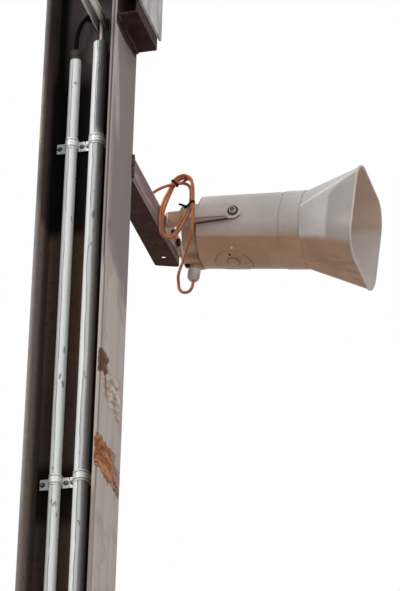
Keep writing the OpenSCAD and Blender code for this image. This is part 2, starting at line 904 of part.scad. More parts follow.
module cable_gland() {
  color([0.75, 0.72, 0.68]) at_gland(chin_low) difference() {
    union() {
      cylinder(r = neck_d / 2, h = neck_len);
      translate([0, 0, -12]) cylinder(r = neck_d / 2 - 2, h = 14);
    }
    translate([0, 0, -13])
      cylinder(r = cable_d / 2 + e, h = 40, $fn = 32);
  }
}

module gland_nut() {
  color([0.8, 0.77, 0.73]) at_gland(chin_low + neck_len) difference() {
    rotate_extrude() hull() {
      square([gland_d / 2, gland_len - dome_len]);
      translate([0, gland_len - 1]) square([gland_d / 2 - 5, 1]);
      translate([0, gland_len - dome_len / 2])
        square([gland_d / 2 - 1.5, 0.1]);
    }
    translate([0, 0, -1])
      cylinder(r = cable_d / 2 + e, h = gland_len + 2, $fn = 32);
  }
}

module blank_plug() {
  color([0.1, 0.1, 0.1]) on_horn()
    translate([chin_low, 0, -plug_s]) rotate([0, 90, 0]) {
      cylinder(r = plug_d / 2, h = plug_up, $fn = 32);
      translate([0, 0, -6]) cylinder(r = plug_d / 2 - 2, h = 7, $fn = 32);
    }
}

// Cables

module horn_cable() {
  color([0.85, 0.42, 0.22]) translate([0, 0, arm_z])
    tube(concat(rise_pts, loop_pts, drop_pts), cable_d / 2, 8);
}

module feed_cable() {
  color([0.06, 0.06, 0.06]) translate([0, 0, arm_z])
    tube(feed_pts, feed_d / 2, 10);
}

// Band of a tie round its strands.
module tie_band(strands) {
  linear_extrude(tie_w, center = true) difference() {
    hull() for (p = strands)
      translate(p) circle(cable_d / 2 + tie_gap + tie_t, $fn = 24);
    hull() for (p = strands)
      translate(p) circle(cable_d / 2 + tie_gap, $fn = 24);
  }
}

// The tie at the side has its head and tail towards the column, and the
// tie at the top lets its tail stand up behind the loop.
module cable_ties() {
  out = cable_d / 2 + tie_gap + tie_t;
  color([0.07, 0.07, 0.07]) translate([0, 0, arm_z]) {
    translate(side_tie) {
      tie_band(side_strands);
      translate([side_strands[0][0] - out, side_strands[0][1], 0]) {
        translate([-2.5, 0, 0]) cube([6, 6, 5.5], center = true);
        rotate([0, 28, 0]) translate([-tie_tail, -1, -tie_w / 2])
          cube([tie_tail - 3, tie_t, tie_w]);
      }
    }
    translate(top_tie) {
      rotate([0, 45, 0]) tie_band(top_strands);
      translate([0, top_strands[0][1] + out - tie_t / 2, 0])
        rotate([0, -24, 0]) translate([0, 0, -tie_w / 2])
          cube([tie_tail + 10, tie_t, tie_w]);
    }
  }
}

// Which piece to draw

base_plate();
base_weld();
anchor_bolts();
anchor_washers();
anchor_nuts();
column();
cap_plate();
conduit_small();
conduit_large();
conduit_bushing();
spacer_bars();
saddles_small();
saddles_large();
saddle_screws();
upper_bracket();
bracket_weld();
bracket_pad();
front_strut();
strut_weld();
web_grommets();
arm_angle();
arm_weld();
yoke();
yoke_bolts();
yoke_nuts();
pivot_bolts();
pivot_washers();
pivot_bosses();
horn_body();
horn_collar();
throat_plate();
horn_flare();
rear_cap();
cable_gland();
gland_nut();
blank_plug();
horn_cable();
feed_cable();
cable_ties();
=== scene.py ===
"""Looks for the siren mast: cables, welds, small fittings, finishes, stage."""

import math
import random

import bpy
import bmesh
from mathutils import Matrix, Vector


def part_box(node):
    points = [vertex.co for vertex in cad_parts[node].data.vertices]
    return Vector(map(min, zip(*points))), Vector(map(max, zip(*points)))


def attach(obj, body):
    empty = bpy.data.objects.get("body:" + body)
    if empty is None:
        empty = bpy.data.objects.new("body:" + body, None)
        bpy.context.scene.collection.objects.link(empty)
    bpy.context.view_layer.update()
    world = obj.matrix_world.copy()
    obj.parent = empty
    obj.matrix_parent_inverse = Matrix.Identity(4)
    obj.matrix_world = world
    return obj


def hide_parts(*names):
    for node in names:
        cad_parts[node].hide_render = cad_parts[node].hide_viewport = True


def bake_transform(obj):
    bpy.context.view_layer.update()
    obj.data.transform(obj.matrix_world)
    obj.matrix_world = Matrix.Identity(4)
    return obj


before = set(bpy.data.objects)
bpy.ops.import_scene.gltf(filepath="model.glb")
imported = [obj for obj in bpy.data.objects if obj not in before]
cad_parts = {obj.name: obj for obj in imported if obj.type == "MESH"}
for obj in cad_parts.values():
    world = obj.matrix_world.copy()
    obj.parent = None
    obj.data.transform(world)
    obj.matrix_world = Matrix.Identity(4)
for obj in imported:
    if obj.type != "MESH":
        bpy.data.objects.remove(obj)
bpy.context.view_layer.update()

bl_info = {
    "name": "Siren mast dresser",
    "version": (1, 0, 0),
    "blender": (4, 5, 0),
    "location": "3D View > Sidebar > Siren mast",
    "description": "Adds cables, welds, finishes, floor and camera to the siren mast",
    "category": "Object",
}

TOWER, SIREN = "tower", "siren"


def middle_of(node):
    """The middle of a CAD node's box."""
    return sum(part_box(node), Vector()) / 2


# Places from the frame, in metres. The arm lies with its +X side on the
# plane of the column's outer face, and starts at the flange's edge.
ARM_LOW, ARM_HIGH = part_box("arm_angle")
ARM_Z = ARM_LOW.z
HALF_D = ARM_HIGH.x
HALF_W = ARM_LOW.y
PIPE_SMALL = middle_of("conduit_small")
PIPE_LARGE = middle_of("conduit_large")
PIVOT = middle_of("pivot_washers")

# The flange's thickness, the saddles' spacing up the column, and the places
# of their screws along X, each with a dark ring of this radius.
FLANGE_T = 0.0115
SADDLE_PITCH = 0.81
SCREWS = (-0.056, -0.006, 0.008, 0.055)
SCREW_RING = 0.0062

# The horn's tilt, and places along its axis, ahead of the pivot: the cone of
# its body with the radius at each end, the body's seam and the mouth.
TILT = math.radians(5.8)
BODY_BACK, BODY_FRONT = -0.088, 0.150
BODY_R0, BODY_R1 = 0.081, 0.087
SEAM = 0.104
MOUTH = 0.283

# How far a point may be from a plane and still lie on it.
SKIN = 0.0004


def srgb(*levels):
    """A colour given in screen levels from 0 to 255, made linear."""
    return tuple(((v / 255 + 0.055) / 1.055) ** 2.4 for v in levels)


def paint(given):
    """A stop's or a layer's colour, given as one or as three screen levels."""
    return srgb(*given) if len(given) == 3 else given[0]


def scaled(colour, share):
    """The colour, lighter or darker by this share."""
    return [c * share for c in colour]


# Node trees

class Tree:
    """A node tree whose nodes are all made by one call."""

    def __init__(self, tree):
        self.tree = tree

    def node(self, kind, settings=None, out=0, **inputs):
        """Any node: its settings first, then its sockets by name.

        Colour stops are the setting "stops"; i0 is the socket number 0; out
        may name several outputs."""
        node = self.tree.nodes.new(kind)
        for key, value in (settings or {}).items():
            if key == "stops":
                ramp = node.color_ramp
                while len(ramp.elements) < len(value):
                    ramp.elements.new(0.5)
                for element, (where, colour) in zip(ramp.elements, value):
                    element.position, element.color = where, tint(colour)
            else:
                setattr(node, key, value)
        for key, value in inputs.items():
            numbered = key[0] == "i" and key[1:].isdigit()
            self.plug(node.inputs[int(key[1:]) if numbered else titled(key)], value)
        if isinstance(out, tuple):
            return [Wire(self, node.outputs[port]) for port in out]
        return Wire(self, node.outputs[out])

    def plug(self, port, value):
        """Links a wire to the socket, or sets the socket to a plain value."""
        if isinstance(value, Wire):
            self.tree.links.new(value.socket, port)
        else:
            port.default_value = value


def operator(operation):
    """An operator's two methods: with the wire first, and reflected."""
    return (lambda wire, other: wire.maths(operation, wire, other),
            lambda wire, other: wire.maths(operation, other, wire))


class Wire:
    """A node socket that can be used in Python sums."""

    __add__, __radd__ = operator("ADD")
    __sub__, __rsub__ = operator("SUBTRACT")
    __mul__, __rmul__ = operator("MULTIPLY")
    __truediv__, __rtruediv__ = operator("DIVIDE")
    __pow__, __rpow__ = operator("POWER")
    __mod__, __rmod__ = operator("MODULO")

    def __init__(self, tree, socket):
        self.tree, self.socket = tree, socket

    def maths(self, operation, first, second=0.0):
        return self.tree.node("ShaderNodeMath", {"operation": operation},
                              i0=first, i1=second)

    def __abs__(self):
        return self.maths("ABSOLUTE", self)

    def at_least(self, other):
        return self.maths("MAXIMUM", self, other)

    def above(self, edge, soft):
        """0 below edge, 1 above edge + soft, smooth between."""
        return self.tree.node(
            "ShaderNodeMapRange", {"interpolation_type": "SMOOTHSTEP"},
            value=self, from_min=edge, from_max=edge + soft)

    def below(self, edge, soft):
        """1 below edge - soft, 0 above edge, smooth between."""
        return 1 - self.above(edge - soft, soft)

    def near(self, middle, half, soft):
        """1 within half of middle, 0 farther out than half + soft."""
        return abs(self - middle).below(half + soft, soft)

    def sway(self, width):
        """Noise from 0 to 1, made an offset of up to half of width each way."""
        return (self - 0.5) * width


def tint(colour):
    return colour if isinstance(colour, Wire) else (*colour[:3], 1.0)


def titled(key):
    """A socket's name, from a keyword."""
    return key.replace("_", " ").title()


def apart(first, second):
    """How far off a point is that lies first one way and second the other."""
    return (first ** 2.0 + second ** 2.0) ** 0.5


class Finish(Tree):
    """One material, with a Principled shader and the calls that feed it."""

    def __init__(self, name, gloss=0.5, **sockets):
        self.material = bpy.data.materials.new(name)
        self.material.use_nodes = True
        super().__init__(self.material.node_tree)
        self.shader = self.tree.nodes["Principled BSDF"]
        self.feed("Specular IOR Level", gloss)
        for key, value in sockets.items():
            self.feed(titled(key), value)
        self.place = self.node("ShaderNodeTexCoord", out="Object")

    def axes(self):
        """The point on the surface in metres, along X, Y and Z."""
        return self.node("ShaderNodeSeparateXYZ", out=(0, 1, 2), vector=self.place)

    def facing(self):
        """The surface's direction, along X, Y and Z."""
        normal = self.node("ShaderNodeTexCoord", out="Normal")
        return self.node("ShaderNodeSeparateXYZ", out=(0, 1, 2), vector=normal)

    def grain(self, scale, detail=4.0, stretch=(1, 1, 1), turn=(0, 0, 0)):
        """Noise in 0 to 1, with scale in lumps per metre.

        The noise is turned, and stretch squeezes it along its own axes."""
        vector = self.node("ShaderNodeMapping", {"vector_type": "TEXTURE"},
                           vector=self.place, rotation=turn,
                           scale=[1 / share for share in stretch])
        return self.node("ShaderNodeTexNoise", vector=vector, scale=scale,
                         detail=detail, roughness=0.55)

    def mix(self, amount, low, high):
        """Colours low and high, mixed by amount."""
        return self.node("ShaderNodeMix", {"data_type": "RGBA"}, 2,
                         i0=amount, i6=tint(low), i7=tint(high))

    def coats(self, colour, *layers):
        """Layers over a colour: each is an amount, then its paint."""
        for amount, *layer in layers:
            colour = self.mix(amount, colour, paint(layer))
        return colour

    def ramp(self, wire, *stops):
        """Colours along a wire: each stop is a value, then its paint."""
        low, span = stops[0][0], stops[-1][0] - stops[0][0]
        return self.node("ShaderNodeValToRGB", {"stops": [
            ((value - low) / span, paint(stop)) for value, *stop in stops]},
            i0=(wire - low) / span)

    def feed(self, socket, value):
        self.plug(self.shader.inputs[socket], value)

    def done(self, colour, roughness, height, strength, distance=0.0005):
        """Feeds the shader; height is the fine relief of the surface."""
        self.feed("Base Color", colour)
        self.feed("Roughness", roughness)
        self.feed("Normal", self.node("ShaderNodeBump", height=height,
                                      strength=strength, distance=distance))
        return self


def dress(nodes, finish):
    """Gives each CAD node this finish."""
    for name in nodes.split():
        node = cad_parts[name]
        for slot in node.material_slots:
            slot.material = finish.material
        if not node.material_slots:
            node.data.materials.append(finish.material)


# Meshes

def mesh_piece(name, bm, finish):
    mesh = bpy.data.meshes.new(name)
    bmesh.ops.recalc_face_normals(bm, faces=bm.faces)
    bm.to_mesh(mesh)
    bm.free()
    for face in mesh.polygons:
        face.use_smooth = True
    piece = bpy.data.objects.new(name, mesh)
    bpy.context.scene.collection.objects.link(piece)
    mesh.materials.append(finish.material)
    return piece


def spline(points, per):
    """A smooth line through the points, per steps between neighbours."""
    line = []
    last = len(points) - 1
    for i in range(last):
        a, b = points[max(i - 1, 0)], points[i]
        c, d = points[i + 1], points[min(i + 2, last)]
        for k in range(per):
            t = k / per
            line.append(0.5 * (2 * b + (c - a) * t
                               + (2 * a - 5 * b + 4 * c - d) * t * t
                               + (3 * b - a - 3 * c + d) * t ** 3))
    line.append(points[last].copy())
    return line


def tube(bm, line, radii, sides):
    """A round tube along the line, with one radius for each of its rings."""
    side = Vector((0.3, 1.0, 0.1))
    rings = []
    for i, (point, radius) in enumerate(zip(line, radii)):
        way = (line[min(i + 1, len(line) - 1)] - line[max(i - 1, 0)]).normalized()
        side = (side - way * side.dot(way)).normalized()
        other = way.cross(side)
        turns = [2 * math.pi * k / sides for k in range(sides)]
        rings.append([bm.verts.new(
            point + radius * (math.cos(t) * side + math.sin(t) * other))
            for t in turns])
    for low, high in zip(rings, rings[1:]):
        for k in range(sides):
            j = (k + 1) % sides
            bm.faces.new((low[k], low[j], high[j], high[k]))
    bm.faces.new(rings[0][::-1])
    bm.faces.new(rings[-1])


def metres(points):
    """Points in metres, from millimetres over the arm's underside."""
    return [Vector((x / 1000, y / 1000, z / 1000 + ARM_Z)) for x, y, z in points]


def on_horn(s, down, w):
    """A point s ahead of the pivot, down below the horn's axis, w to +Y."""
    ahead = Vector((math.cos(TILT), 0, -math.sin(TILT)))
    below = Vector((-math.sin(TILT), 0, -math.cos(TILT)))
    return PIVOT + s * ahead + down * below + Vector((0, w, 0))


# The two cables' routes, in millimetres over the arm's underside: up out of
# the large conduit and along the arm, twice round the loop, and down to the
# gland.

RISE = [
    (31, -26, 262), (31, -26, 310), (30, -26, 332), (27, -19, 350),
    (25, -7, 355.5), (25, 7, 355.5), (27, 19, 350), (28, 33, 331),
    (28, 37, 300), (28, 37, 130), (33, 48, 60), (46, 78, 20), (58, 116, 11),
    (60, 180, 11), (62, 222, 22), (67, 241, 50), (78, 258, 76),
]
LOOP = [
    (92, 274, 95), (105, 287, 107), (117, 300, 116), (129, 308, 121),
    (140, 311, 116), (146, 311, 103), (146, 311, 70), (140, 311, 50),
    (120, 311, 10), (112, 310, -6), (101, 308, -12), (90, 304, -8),
    (86, 300, 4), (86, 298, 26), (89, 300, 54), (96, 303, 81),
    (104, 305, 105), (112, 305, 121), (124, 305, 131), (138, 305, 131),
    (149, 304, 121), (153, 304, 105), (154, 304, 70), (149, 303, 48),
    (128, 303, 3), (118, 302, -13), (107, 299, -22), (95, 293, -21),
    (88, 287, -11), (86, 283, 4), (86, 282, 23), (88, 283, 48),
    (93, 289, 74), (101, 295, 98), (109, 296, 120), (120, 296, 131),
    (134, 296, 134), (147, 296, 126), (153, 296, 111), (155, 296, 72),
]
DROP = [
    (157.5, 296, 36), (156, 298, -2), (150, 304, -26), (140, 316, -45),
    (126, 341, -55), (110, 375, -53), (98, 402, -51), (92.5, 416, -55),
    (91.5, 424, -66), (93, 426, -78), (99, 427, -86), (108, 427, -89),
    (117, 426.5, -86), (122.5, 425.5, -78), (124.4, 425, -67),
    (125.2, 425, -56),
]
BLACK = [
    (-26, -22.5, 240), (-26, -22.5, 282), (-25.5, -23.5, 304),
    (-23, -25, 324), (-18, -25, 342), (-12, -22, 358), (-6, -15, 372),
    (-3, -6, 377), (-3, 5, 377),
]


# Sizes and colours a user would change

class CableSizes(bpy.types.PropertyGroup):
    orange_d: bpy.props.FloatProperty(
        name="Orange cable", description="Diameter of the horn's cable",
        default=0.007, min=0.003, max=0.012, unit="LENGTH")
    black_d: bpy.props.FloatProperty(
        name="Black cable", description="Diameter of the feed cable",
        default=0.009, min=0.003, max=0.014, unit="LENGTH")
    bead: bpy.props.FloatProperty(
        name="Weld bead", description="Radius of the weld beads",
        default=0.0045, min=0.002, max=0.007, unit="LENGTH")


def colour_property(name, description, *levels):
    return bpy.props.FloatVectorProperty(
        name=name, description=description, subtype="COLOR", size=3,
        default=srgb(*levels))


class MastColours(bpy.types.PropertyGroup):
    paint: colour_property("Column paint", "Main colour of the column", 194, 182, 174)
    rust: colour_property("Rust", "Colour of the rust patches", 178, 108, 60)
    zinc: colour_property("Galvanising", "Colour of the conduits and saddles",
                          232, 235, 232)
    horn: colour_property("Horn", "Colour of the horn's shell", 221, 213, 207)
    sheath: colour_property("Cable sheath", "Colour of the horn's cable", 250, 146, 86)


def sizes():
    return bpy.context.scene.siren_sizes


def colours():
    return bpy.context.scene.siren_colours


# Finishes

def column_finish():
    """Grey-brown paint, dark in the recesses with dark paint and painted shade, with
    rust where it is worn.
    """
    finish = Finish("column_paint", gloss=0.12)
    x, y, z = finish.axes()
    cloud = finish.grain(7, 5, (1, 1, 0.25))
    streak = finish.grain(55, 4, (1, 1, 0.03))
    rough = finish.grain(60, 6)
    depth = HALF_W - abs(y)
    edge = abs(x).below(HALF_D - SKIN, SKIN)
    inside = edge * depth.above(SKIN, 0.0006)
    colour = finish.coats(
        column_face(finish, y, z, cloud, streak),
        (edge, column_edges(finish, x, z, rough, streak)),
        (inside, column_recess(finish, x, z, depth, cloud, rough)))
    colour = column_rust(finish, x, y, z, rough, colour)
    splash_z = 0.35
    foot = (z + cloud.sway(0.5)).below(splash_z, 0.3) * (1 - inside)
    colour = finish.mix(foot * rough.above(0.5, 0.12), colour, srgb(112, 76, 50))
    return finish.done(colour, 0.6 + cloud * 0.2 + inside * 0.15,
                       rough * 0.7 + streak * 0.3, 0.25, 0.0006)


def column_face(finish, y, z, cloud, streak):
    """The flanges' outer faces: browner high up, paler lower down."""
    pale_z, strip_z, highlight_z = 5.67, 5.7, 6.0
    strip_y, sweep_y, sweep_z = -0.054, -0.052, 6.05
    shade_z, bracket_z = 6.13, 6.212
    blots = finish.grain(20, 5)
    low = (z + blots.sway(0.2) + cloud.sway(0.1) + y * 0.5).below(pale_z, 0.13)
    # A paler strip along the near edge: wear, and higher up a painted highlight.
    strip = ((y + streak.sway(0.03)).below(strip_y, 0.008)
             * (0.25 + z.above(highlight_z, 0.09) * 0.6) * z.above(strip_z, 0.02))
    sweep = ((y + (z - sweep_z) * 0.12 + blots.sway(0.02)).near(sweep_y, 0.008, 0.012)
             * z.near(sweep_z, 0.06, 0.09))
    ragged = z + blots.sway(0.05) - y.above(0.0, 0.09) * 0.01
    return finish.coats(
        finish.mix(low, srgb(142, 130, 129), colours().paint),
        (streak.above(0.47, 0.12) * 0.12, 118, 106, 101),
        (streak.below(0.45, 0.08) * 0.12 * low, 214, 204, 196),
        (strip, 196, 184, 180),
        (blots.above(0.52, 0.1) * 0.3 * low, 150, 134, 124),
        (sweep * 0.6, 196, 184, 182),
        (ragged.above(shade_z, 0.09) * y.above(-0.04, 0.05) * 0.5, 92, 76, 74),
        (ragged.near(bracket_z, 0.012, 0.004) * 0.9, 44, 28, 27))


def column_edges(finish, x, z, rough, streak):
    """The flanges' narrow edges, streaked along their length."""
    left_dark_z, beige_z, left_foot_z = 5.72, 6.0, 5.09
    across = (x + HALF_D) / FLANGE_T + rough.sway(0.4)
    left = finish.coats(
        finish.ramp(across, (0.0, 166, 163, 163), (0.35, 140, 132, 127),
                    (0.7, 112, 102, 96), (1.0, 88, 78, 74)),
        (z.above(left_dark_z, 0.1) * 0.7, finish.ramp(
            across, (0.0, 140, 138, 140), (0.4, 86, 76, 73), (0.75, 58, 48, 44),
            (1.0, 34, 25, 24))),
        (z.near(beige_z, 0.075, 0.02) * across.below(0.5, 0.35), 176, 154, 132),
        (z.below(left_foot_z, 0.1) * 0.5, 116, 101, 90))
    right_pale_z, right_foot_z = 5.58, 5.1
    across = (x - HALF_D) / FLANGE_T + 1 + streak.sway(0.12)
    right = finish.coats(
        finish.ramp(across, (0.0, 188, 179, 171), (0.5, 180, 170, 161),
                    (0.72, 126, 114, 106), (0.85, 126, 114, 106),
                    (1.0, 166, 154, 145)),
        (z.above(right_pale_z, 0.06), finish.ramp(
            across, (0.0, 150, 141, 138), (0.3, 154, 146, 143), (0.42, 90, 79, 76),
            (0.62, 98, 88, 85), (0.75, 168, 158, 155), (1.0, 150, 140, 138))),
        (z.below(right_foot_z, 0.05) * 0.7, finish.ramp(
            across, (0.0, 128, 117, 107), (0.8, 146, 135, 126),
            (1.0, 184, 174, 166))))
    return finish.mix(x.above(0, 0.001), left, right)


def column_recess(finish, x, z, depth, cloud, rough):
    """Between the flanges: dark paint with painted shade, nearly black high up, brown
    lower down.
    """
    brown_z, top_z, deep_brown_z, shade_z = 5.745, 6.08, 5.42, 5.11
    lip_depth, web_depth = 0.004, 0.066
    level = z + cloud.sway(0.05)
    low = level.below(brown_z, 0.04)
    top = level.above(top_z, 0.08)
    # The walls darken with depth into the recess as painted shade, less so near the
    # top.
    wall = finish.coats(
        finish.mix(depth.above(lip_depth, 0.062), srgb(68, 58, 55), srgb(6, 0, 1)),
        (top * 0.8, 62, 46, 48),
        (low, finish.mix(depth.above(lip_depth, 0.045), srgb(124, 110, 102),
                         srgb(66, 54, 47))))
    brown = finish.coats(
        finish.mix(x.above(-0.03, 0.01), srgb(88, 73, 64), srgb(86, 62, 52)),
        (level.below(deep_brown_z, 0.1), 74, 62, 55))
    shade = level.near(shade_z, 0.045, 0.04) * depth.above(0.03, 0.02)
    # The web is nearly black high up from dark paint and painted shade, with a painted
    # shadow of the saddles lower down.
    web = finish.coats(
        finish.mix(x.above(-0.03, 0.03), srgb(4, 0, 1), srgb(22, 15, 17)),
        (top * x.above(-0.06, 0.02), 86, 76, 78),
        (low, brown),
        (shade * 0.9, 10, 4, 2))
    return finish.coats(
        wall, (depth.above(web_depth, 0.004), web),
        (rough.above(0.53, 0.12) * 0.3 * low, 44, 30, 24))


def column_rust(finish, x, y, z, rough, colour):
    """Two worn patches on the +X flange, both round its -Y corner."""
    fine = finish.grain(170, 6, (1, 0.5, 1))
    wisps = finish.grain(38, 5, (1, 0.2, 1))
    curls = finish.grain(84, 3, (1, 0.36, 1), (math.radians(20), 0, 0))
    across = y + rough.sway(0.05)
    level = z + wisps.sway(0.05) + rough.sway(0.03)
    outer_x, trail_z, scrape_z = 0.0715, 5.345, 5.1235
    outer = (x + rough.sway(0.012)).above(outer_x, 0.001)
    dark = srgb(66, 40, 27)
    # Far enough past the flange's edge for a patch to go round it.
    corner = -0.12

    def zone(left, right, low, high, soft=0.004):
        """1 between left and right across the flange, and low and high."""
        return (across.above(left, soft) * across.below(right, soft)
                * level.above(low, soft) * level.below(high, soft) * outer)

    # Upper patch: scribbled wear below a small dark core, and its trail.
    worn = zone(-0.066, 0.064, 5.286, 5.386, 0.016)
    trail = ((y + 0.055 - (5.36 - z) * 0.32 + rough.sway(0.012)).near(0, 0.003, 0.006)
             * z.near(trail_z, 0.025, 0.02) * outer)
    core = finish.mix(fine.above(0.42, 0.15), srgb(134, 82, 52), srgb(76, 42, 26))
    colour = finish.coats(
        colour,
        (worn * 0.4, 172, 152, 134),
        (worn * curls.below(0.5, 0.08) * 0.75, 144, 118, 98),
        (worn * curls.above(0.54, 0.05) * 0.75, 222, 208, 196),
        (trail * 0.8, 128, 88, 62),
        (zone(corner, -0.034, 5.352, 5.403) * 0.9, dark),
        (zone(-0.078, -0.04, 5.357, 5.398), core))
    # Lower patch: bright rust at the corner, mauve streaks farther on, and
    # below them two dark scratches with a bright one between.
    body = zone(corner, 0.078, 5.122, 5.186, 0.008)
    rust = finish.coats(
        finish.mix(fine.above(0.42, 0.18), colours().rust, srgb(132, 78, 42)),
        (wisps.above(0.54, 0.05) * 0.6, 208, 152, 104),
        (wisps.below(0.45, 0.05) * 0.7, 84, 46, 26))
    scrape = level - scrape_z - (y + HALF_W) * 0.09
    reach = across.below(0.075, 0.004) * outer
    return finish.coats(
        colour,
        (body * 0.85, 158, 122, 104),
        (zone(corner, 0.038, 5.126, 5.206) * 0.7, dark),
        (zone(corner, 0.034, 5.126, 5.201), 166, 124, 98),
        (zone(corner, 0.016, 5.118, 5.2, 0.01), rust),
        (body * wisps.near(0.5, 0.012, 0.01) * 0.75, 84, 50, 32),
        (scrape.near(0.003, 0.003, 0.001) * reach * 0.8, 196, 150, 116),
        *((scrape.near(height, 0.0011, 0.001) * reach * 0.9, dark)
          for height in (0.0, 0.0065)))


def zinc_finish(name, level, pipe=None):
    """Galvanising; pipe adds the painted light and shade and the marks of a conduit.
    """
    finish = Finish(name, gloss=0.4, metallic=0.1)
    zinc = scaled(colours().zinc, level)
    spangle = finish.grain(220, 3)
    run = finish.grain(24, 5, (1, 1, 0.15))
    colour = finish.mix(run.above(0.42, 0.2), zinc, scaled(zinc, 0.8))
    if pipe:
        colour = conduit_marks(finish, run, colour, *pipe)
    return finish.done(colour, 0.42 + spangle * 0.25, spangle * 0.4 + run, 0.2)


def conduit_marks(finish, run, colour, middle, radius, shades, top_dirt):
    """Painted light and shade from side to side, a wavy dark line of painted
    reflection, spots and dirt high up.
    """
    dirt_z = 5.93
    x, _, z = finish.axes()
    across = (x - middle.x) / radius
    sway = across + run.sway(0.7)
    wave = finish.grain(9, 3, (0.01, 0.01, 1))
    # A wavy dark line down the pipe: a painted reflection.
    line = (across + wave.sway(1.2) + run.sway(0.4)).near(-0.12, 0.03, 0.06)
    spots = finish.grain(75, 4, (1, 1, 0.4)).above(0.64, 0.03)
    dirt = (z + wave.sway(0.2)).above(dirt_z, 0.05) * sway.above(-0.05, 0.15)
    return finish.coats(
        colour,
        # Painted light and shade across the pipe.
        (0.85, finish.ramp(sway, *shades)),
        (line * wave.above(0.4, 0.1) * 0.75, 92, 92, 92),
        (spots * across.above(-0.6, 0.2) * 0.7, 60, 56, 56),
        (dirt * top_dirt, 66, 64, 66))


def saddle_finish():
    """Bright pressed zinc, with dark lines along its rims and round screws."""
    finish = Finish("saddle_zinc", metallic=0.2)
    zinc = colours().zinc
    x, y, z = finish.axes()
    run = finish.grain(60, 4)
    low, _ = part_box("saddles_small")
    height = (z - low.z + 0.002) % SADDLE_PITCH
    screw_height, hoop_y = 0.014, -0.012
    hoop = y.below(hoop_y, 0.001)
    colour = finish.coats(
        finish.mix(run.above(0.5, 0.15), zinc, scaled(zinc, 0.8)),
        *((height.near(middle, half, 0.0006) * hoop * 0.9, srgb(52, 48, 46))
          for middle, half in ((0.0055, 0.0009), (0.0215, 0.0006))),
        *((apart(x - screw, height - screw_height).below(SCREW_RING, 0.001),
           srgb(40, 36, 36)) for screw in SCREWS))
    return finish.done(colour, 0.35 + run * 0.2, run, 0.2)


def plain_finish(name, dark, pale, scale=30, roughness=0.6, metallic=0.0,
                 relief=0.2, gloss=0.5):
    """Two shades in clouds, with a little relief."""
    finish = Finish(name, gloss=gloss, metallic=metallic)
    cloud = finish.grain(scale, 5)
    return finish.done(finish.mix(cloud.above(0.35, 0.3), dark, pale),
                       roughness - 0.1 + cloud * 0.2, cloud, relief)


def shell_axes(finish):
    """The horn's own axes: ahead of the pivot, below its axis, to +Y."""
    x, y, z = finish.axes()
    x, z = x - PIVOT.x, z - PIVOT.z
    return (x * math.cos(TILT) - z * math.sin(TILT),
            x * -math.sin(TILT) - z * math.cos(TILT), y - PIVOT.y)


def horn_finish():
    """Warm grey enamel, browned underneath by painted shade, with a seam and soft
    creases.
    """
    speck_s, speck_up = 0.1007, 0.0528
    rear_edge, rim_t = 0.0022, 0.0041
    finish = Finish("horn_shell", gloss=0.3)
    s, down, w = shell_axes(finish)
    nx, ny, nz = finish.facing()
    sunk = nx * -math.sin(TILT) - nz * math.cos(TILT)
    inner = (sunk * down + ny * w).below(0.006, 0.006)
    cloud = finish.grain(11, 4)
    dust = finish.grain(70, 6)
    on_flare = s.above(BODY_FRONT + SKIN, SKIN)
    flare, crease = flare_grey(finish, s, down)
    under, brown = horn_shade_and_streaks(finish, s, down, on_flare, cloud)
    grey = 1 - under * 0.9
    joint = (s - SEAM).near(0, 0.0004, 0.0006)
    step = (s - BODY_FRONT).near(-0.001, 0.0008, 0.0006)
    step_light = s.near(BODY_FRONT + 0.0006, 0.0012, 0.0008)
    speck = apart(s - speck_s, down + speck_up).below(0.0026, 0.001) * w.below(0, 0.01)
    rear = s.below(BODY_BACK + rear_edge, 0.0006)
    rim = s.above(MOUTH - rim_t, SKIN)
    colour = finish.coats(
        body_grey(finish, s, down),
        (on_flare, flare),
        # Painted shade: the brown underside.
        (under, brown),
        (joint * grey * 0.45, 120, 108, 100),
        (step * grey * 0.3, 130, 118, 110),
        # Painted light over the brown at the collar's front step, lifting the step's
        # shade.
        (step_light * under * 0.9, 206, 164, 134),
        (speck, 70, 60, 56),
        # Painted shade along the body's rear edge, by the cap.
        (rear * 0.8, 84, 66, 56),
        (inner * on_flare, bell_inside(finish, s, down)),
        (rim * (1 - inner * 0.5), 198, 183, 173),
        (cloud.above(0.5, 0.2) * 0.12, 150, 132, 120),
        (dust.above(0.56, 0.1) * 0.1, 122, 100, 84))
    return finish.done(colour, 0.45 + cloud * 0.15,
                       dust * 0.4 + cloud + crease * -0.6, 0.12, 0.0006)


def body_grey(finish, s, down):
    """The body's grey from its top down, with painted shade browning it lower down;
    duller ahead at its collar, as painted light makes the rear paler.
    """
    body = finish.ramp(down, (-0.075, 222, 214, 209), (-0.037, colours().horn),
                       (0.0195, 214, 204, 196), (0.0405, 199, 181, 167),
                       (0.05, 190, 168, 150))
    collar = finish.ramp(down, (-0.04, 205, 198, 192), (0.0195, 202, 193, 186),
                         (0.0405, 191, 176, 164), (0.05, 180, 160, 144))
    return finish.mix(s.above(0.0, 0.12), body, collar)


def flare_grey(finish, s, down):
    """The flare's grey: its shaded rear, its top made pale by painted light, and a
    painted highlight on the crease between.

    The crease is given too, for the relief."""
    shade_s, crease_up, crease_fall = 0.2175, 0.011, 0.56
    lit = finish.ramp(down, (-0.03, 198, 190, 183), (0.015, 204, 196, 189),
                      (0.05, 218, 209, 202))
    shaded = finish.ramp(down, (0.0, 161, 155, 150), (0.02, 164, 158, 153),
                         (0.05, 178, 168, 160))
    high = (-0.02 - down).at_least(0.0)
    shade = (s - shade_s - high * high * 19).above(-0.004, 0.01)
    ridge = down + crease_up + (s - BODY_FRONT) * crease_fall
    crease = ridge.near(0, 0.002, 0.003) * s.below(0.29, 0.08)
    return finish.coats(
        lit,
        (shade, shaded),
        # Painted light on the pale top above the crease.
        (ridge.below(0.0, 0.004) * (1 - shade), 204, 199, 194),
        # A painted highlight along the crease.
        (crease * (1 - shade * 0.7) * 0.8, 240, 234, 229)), crease


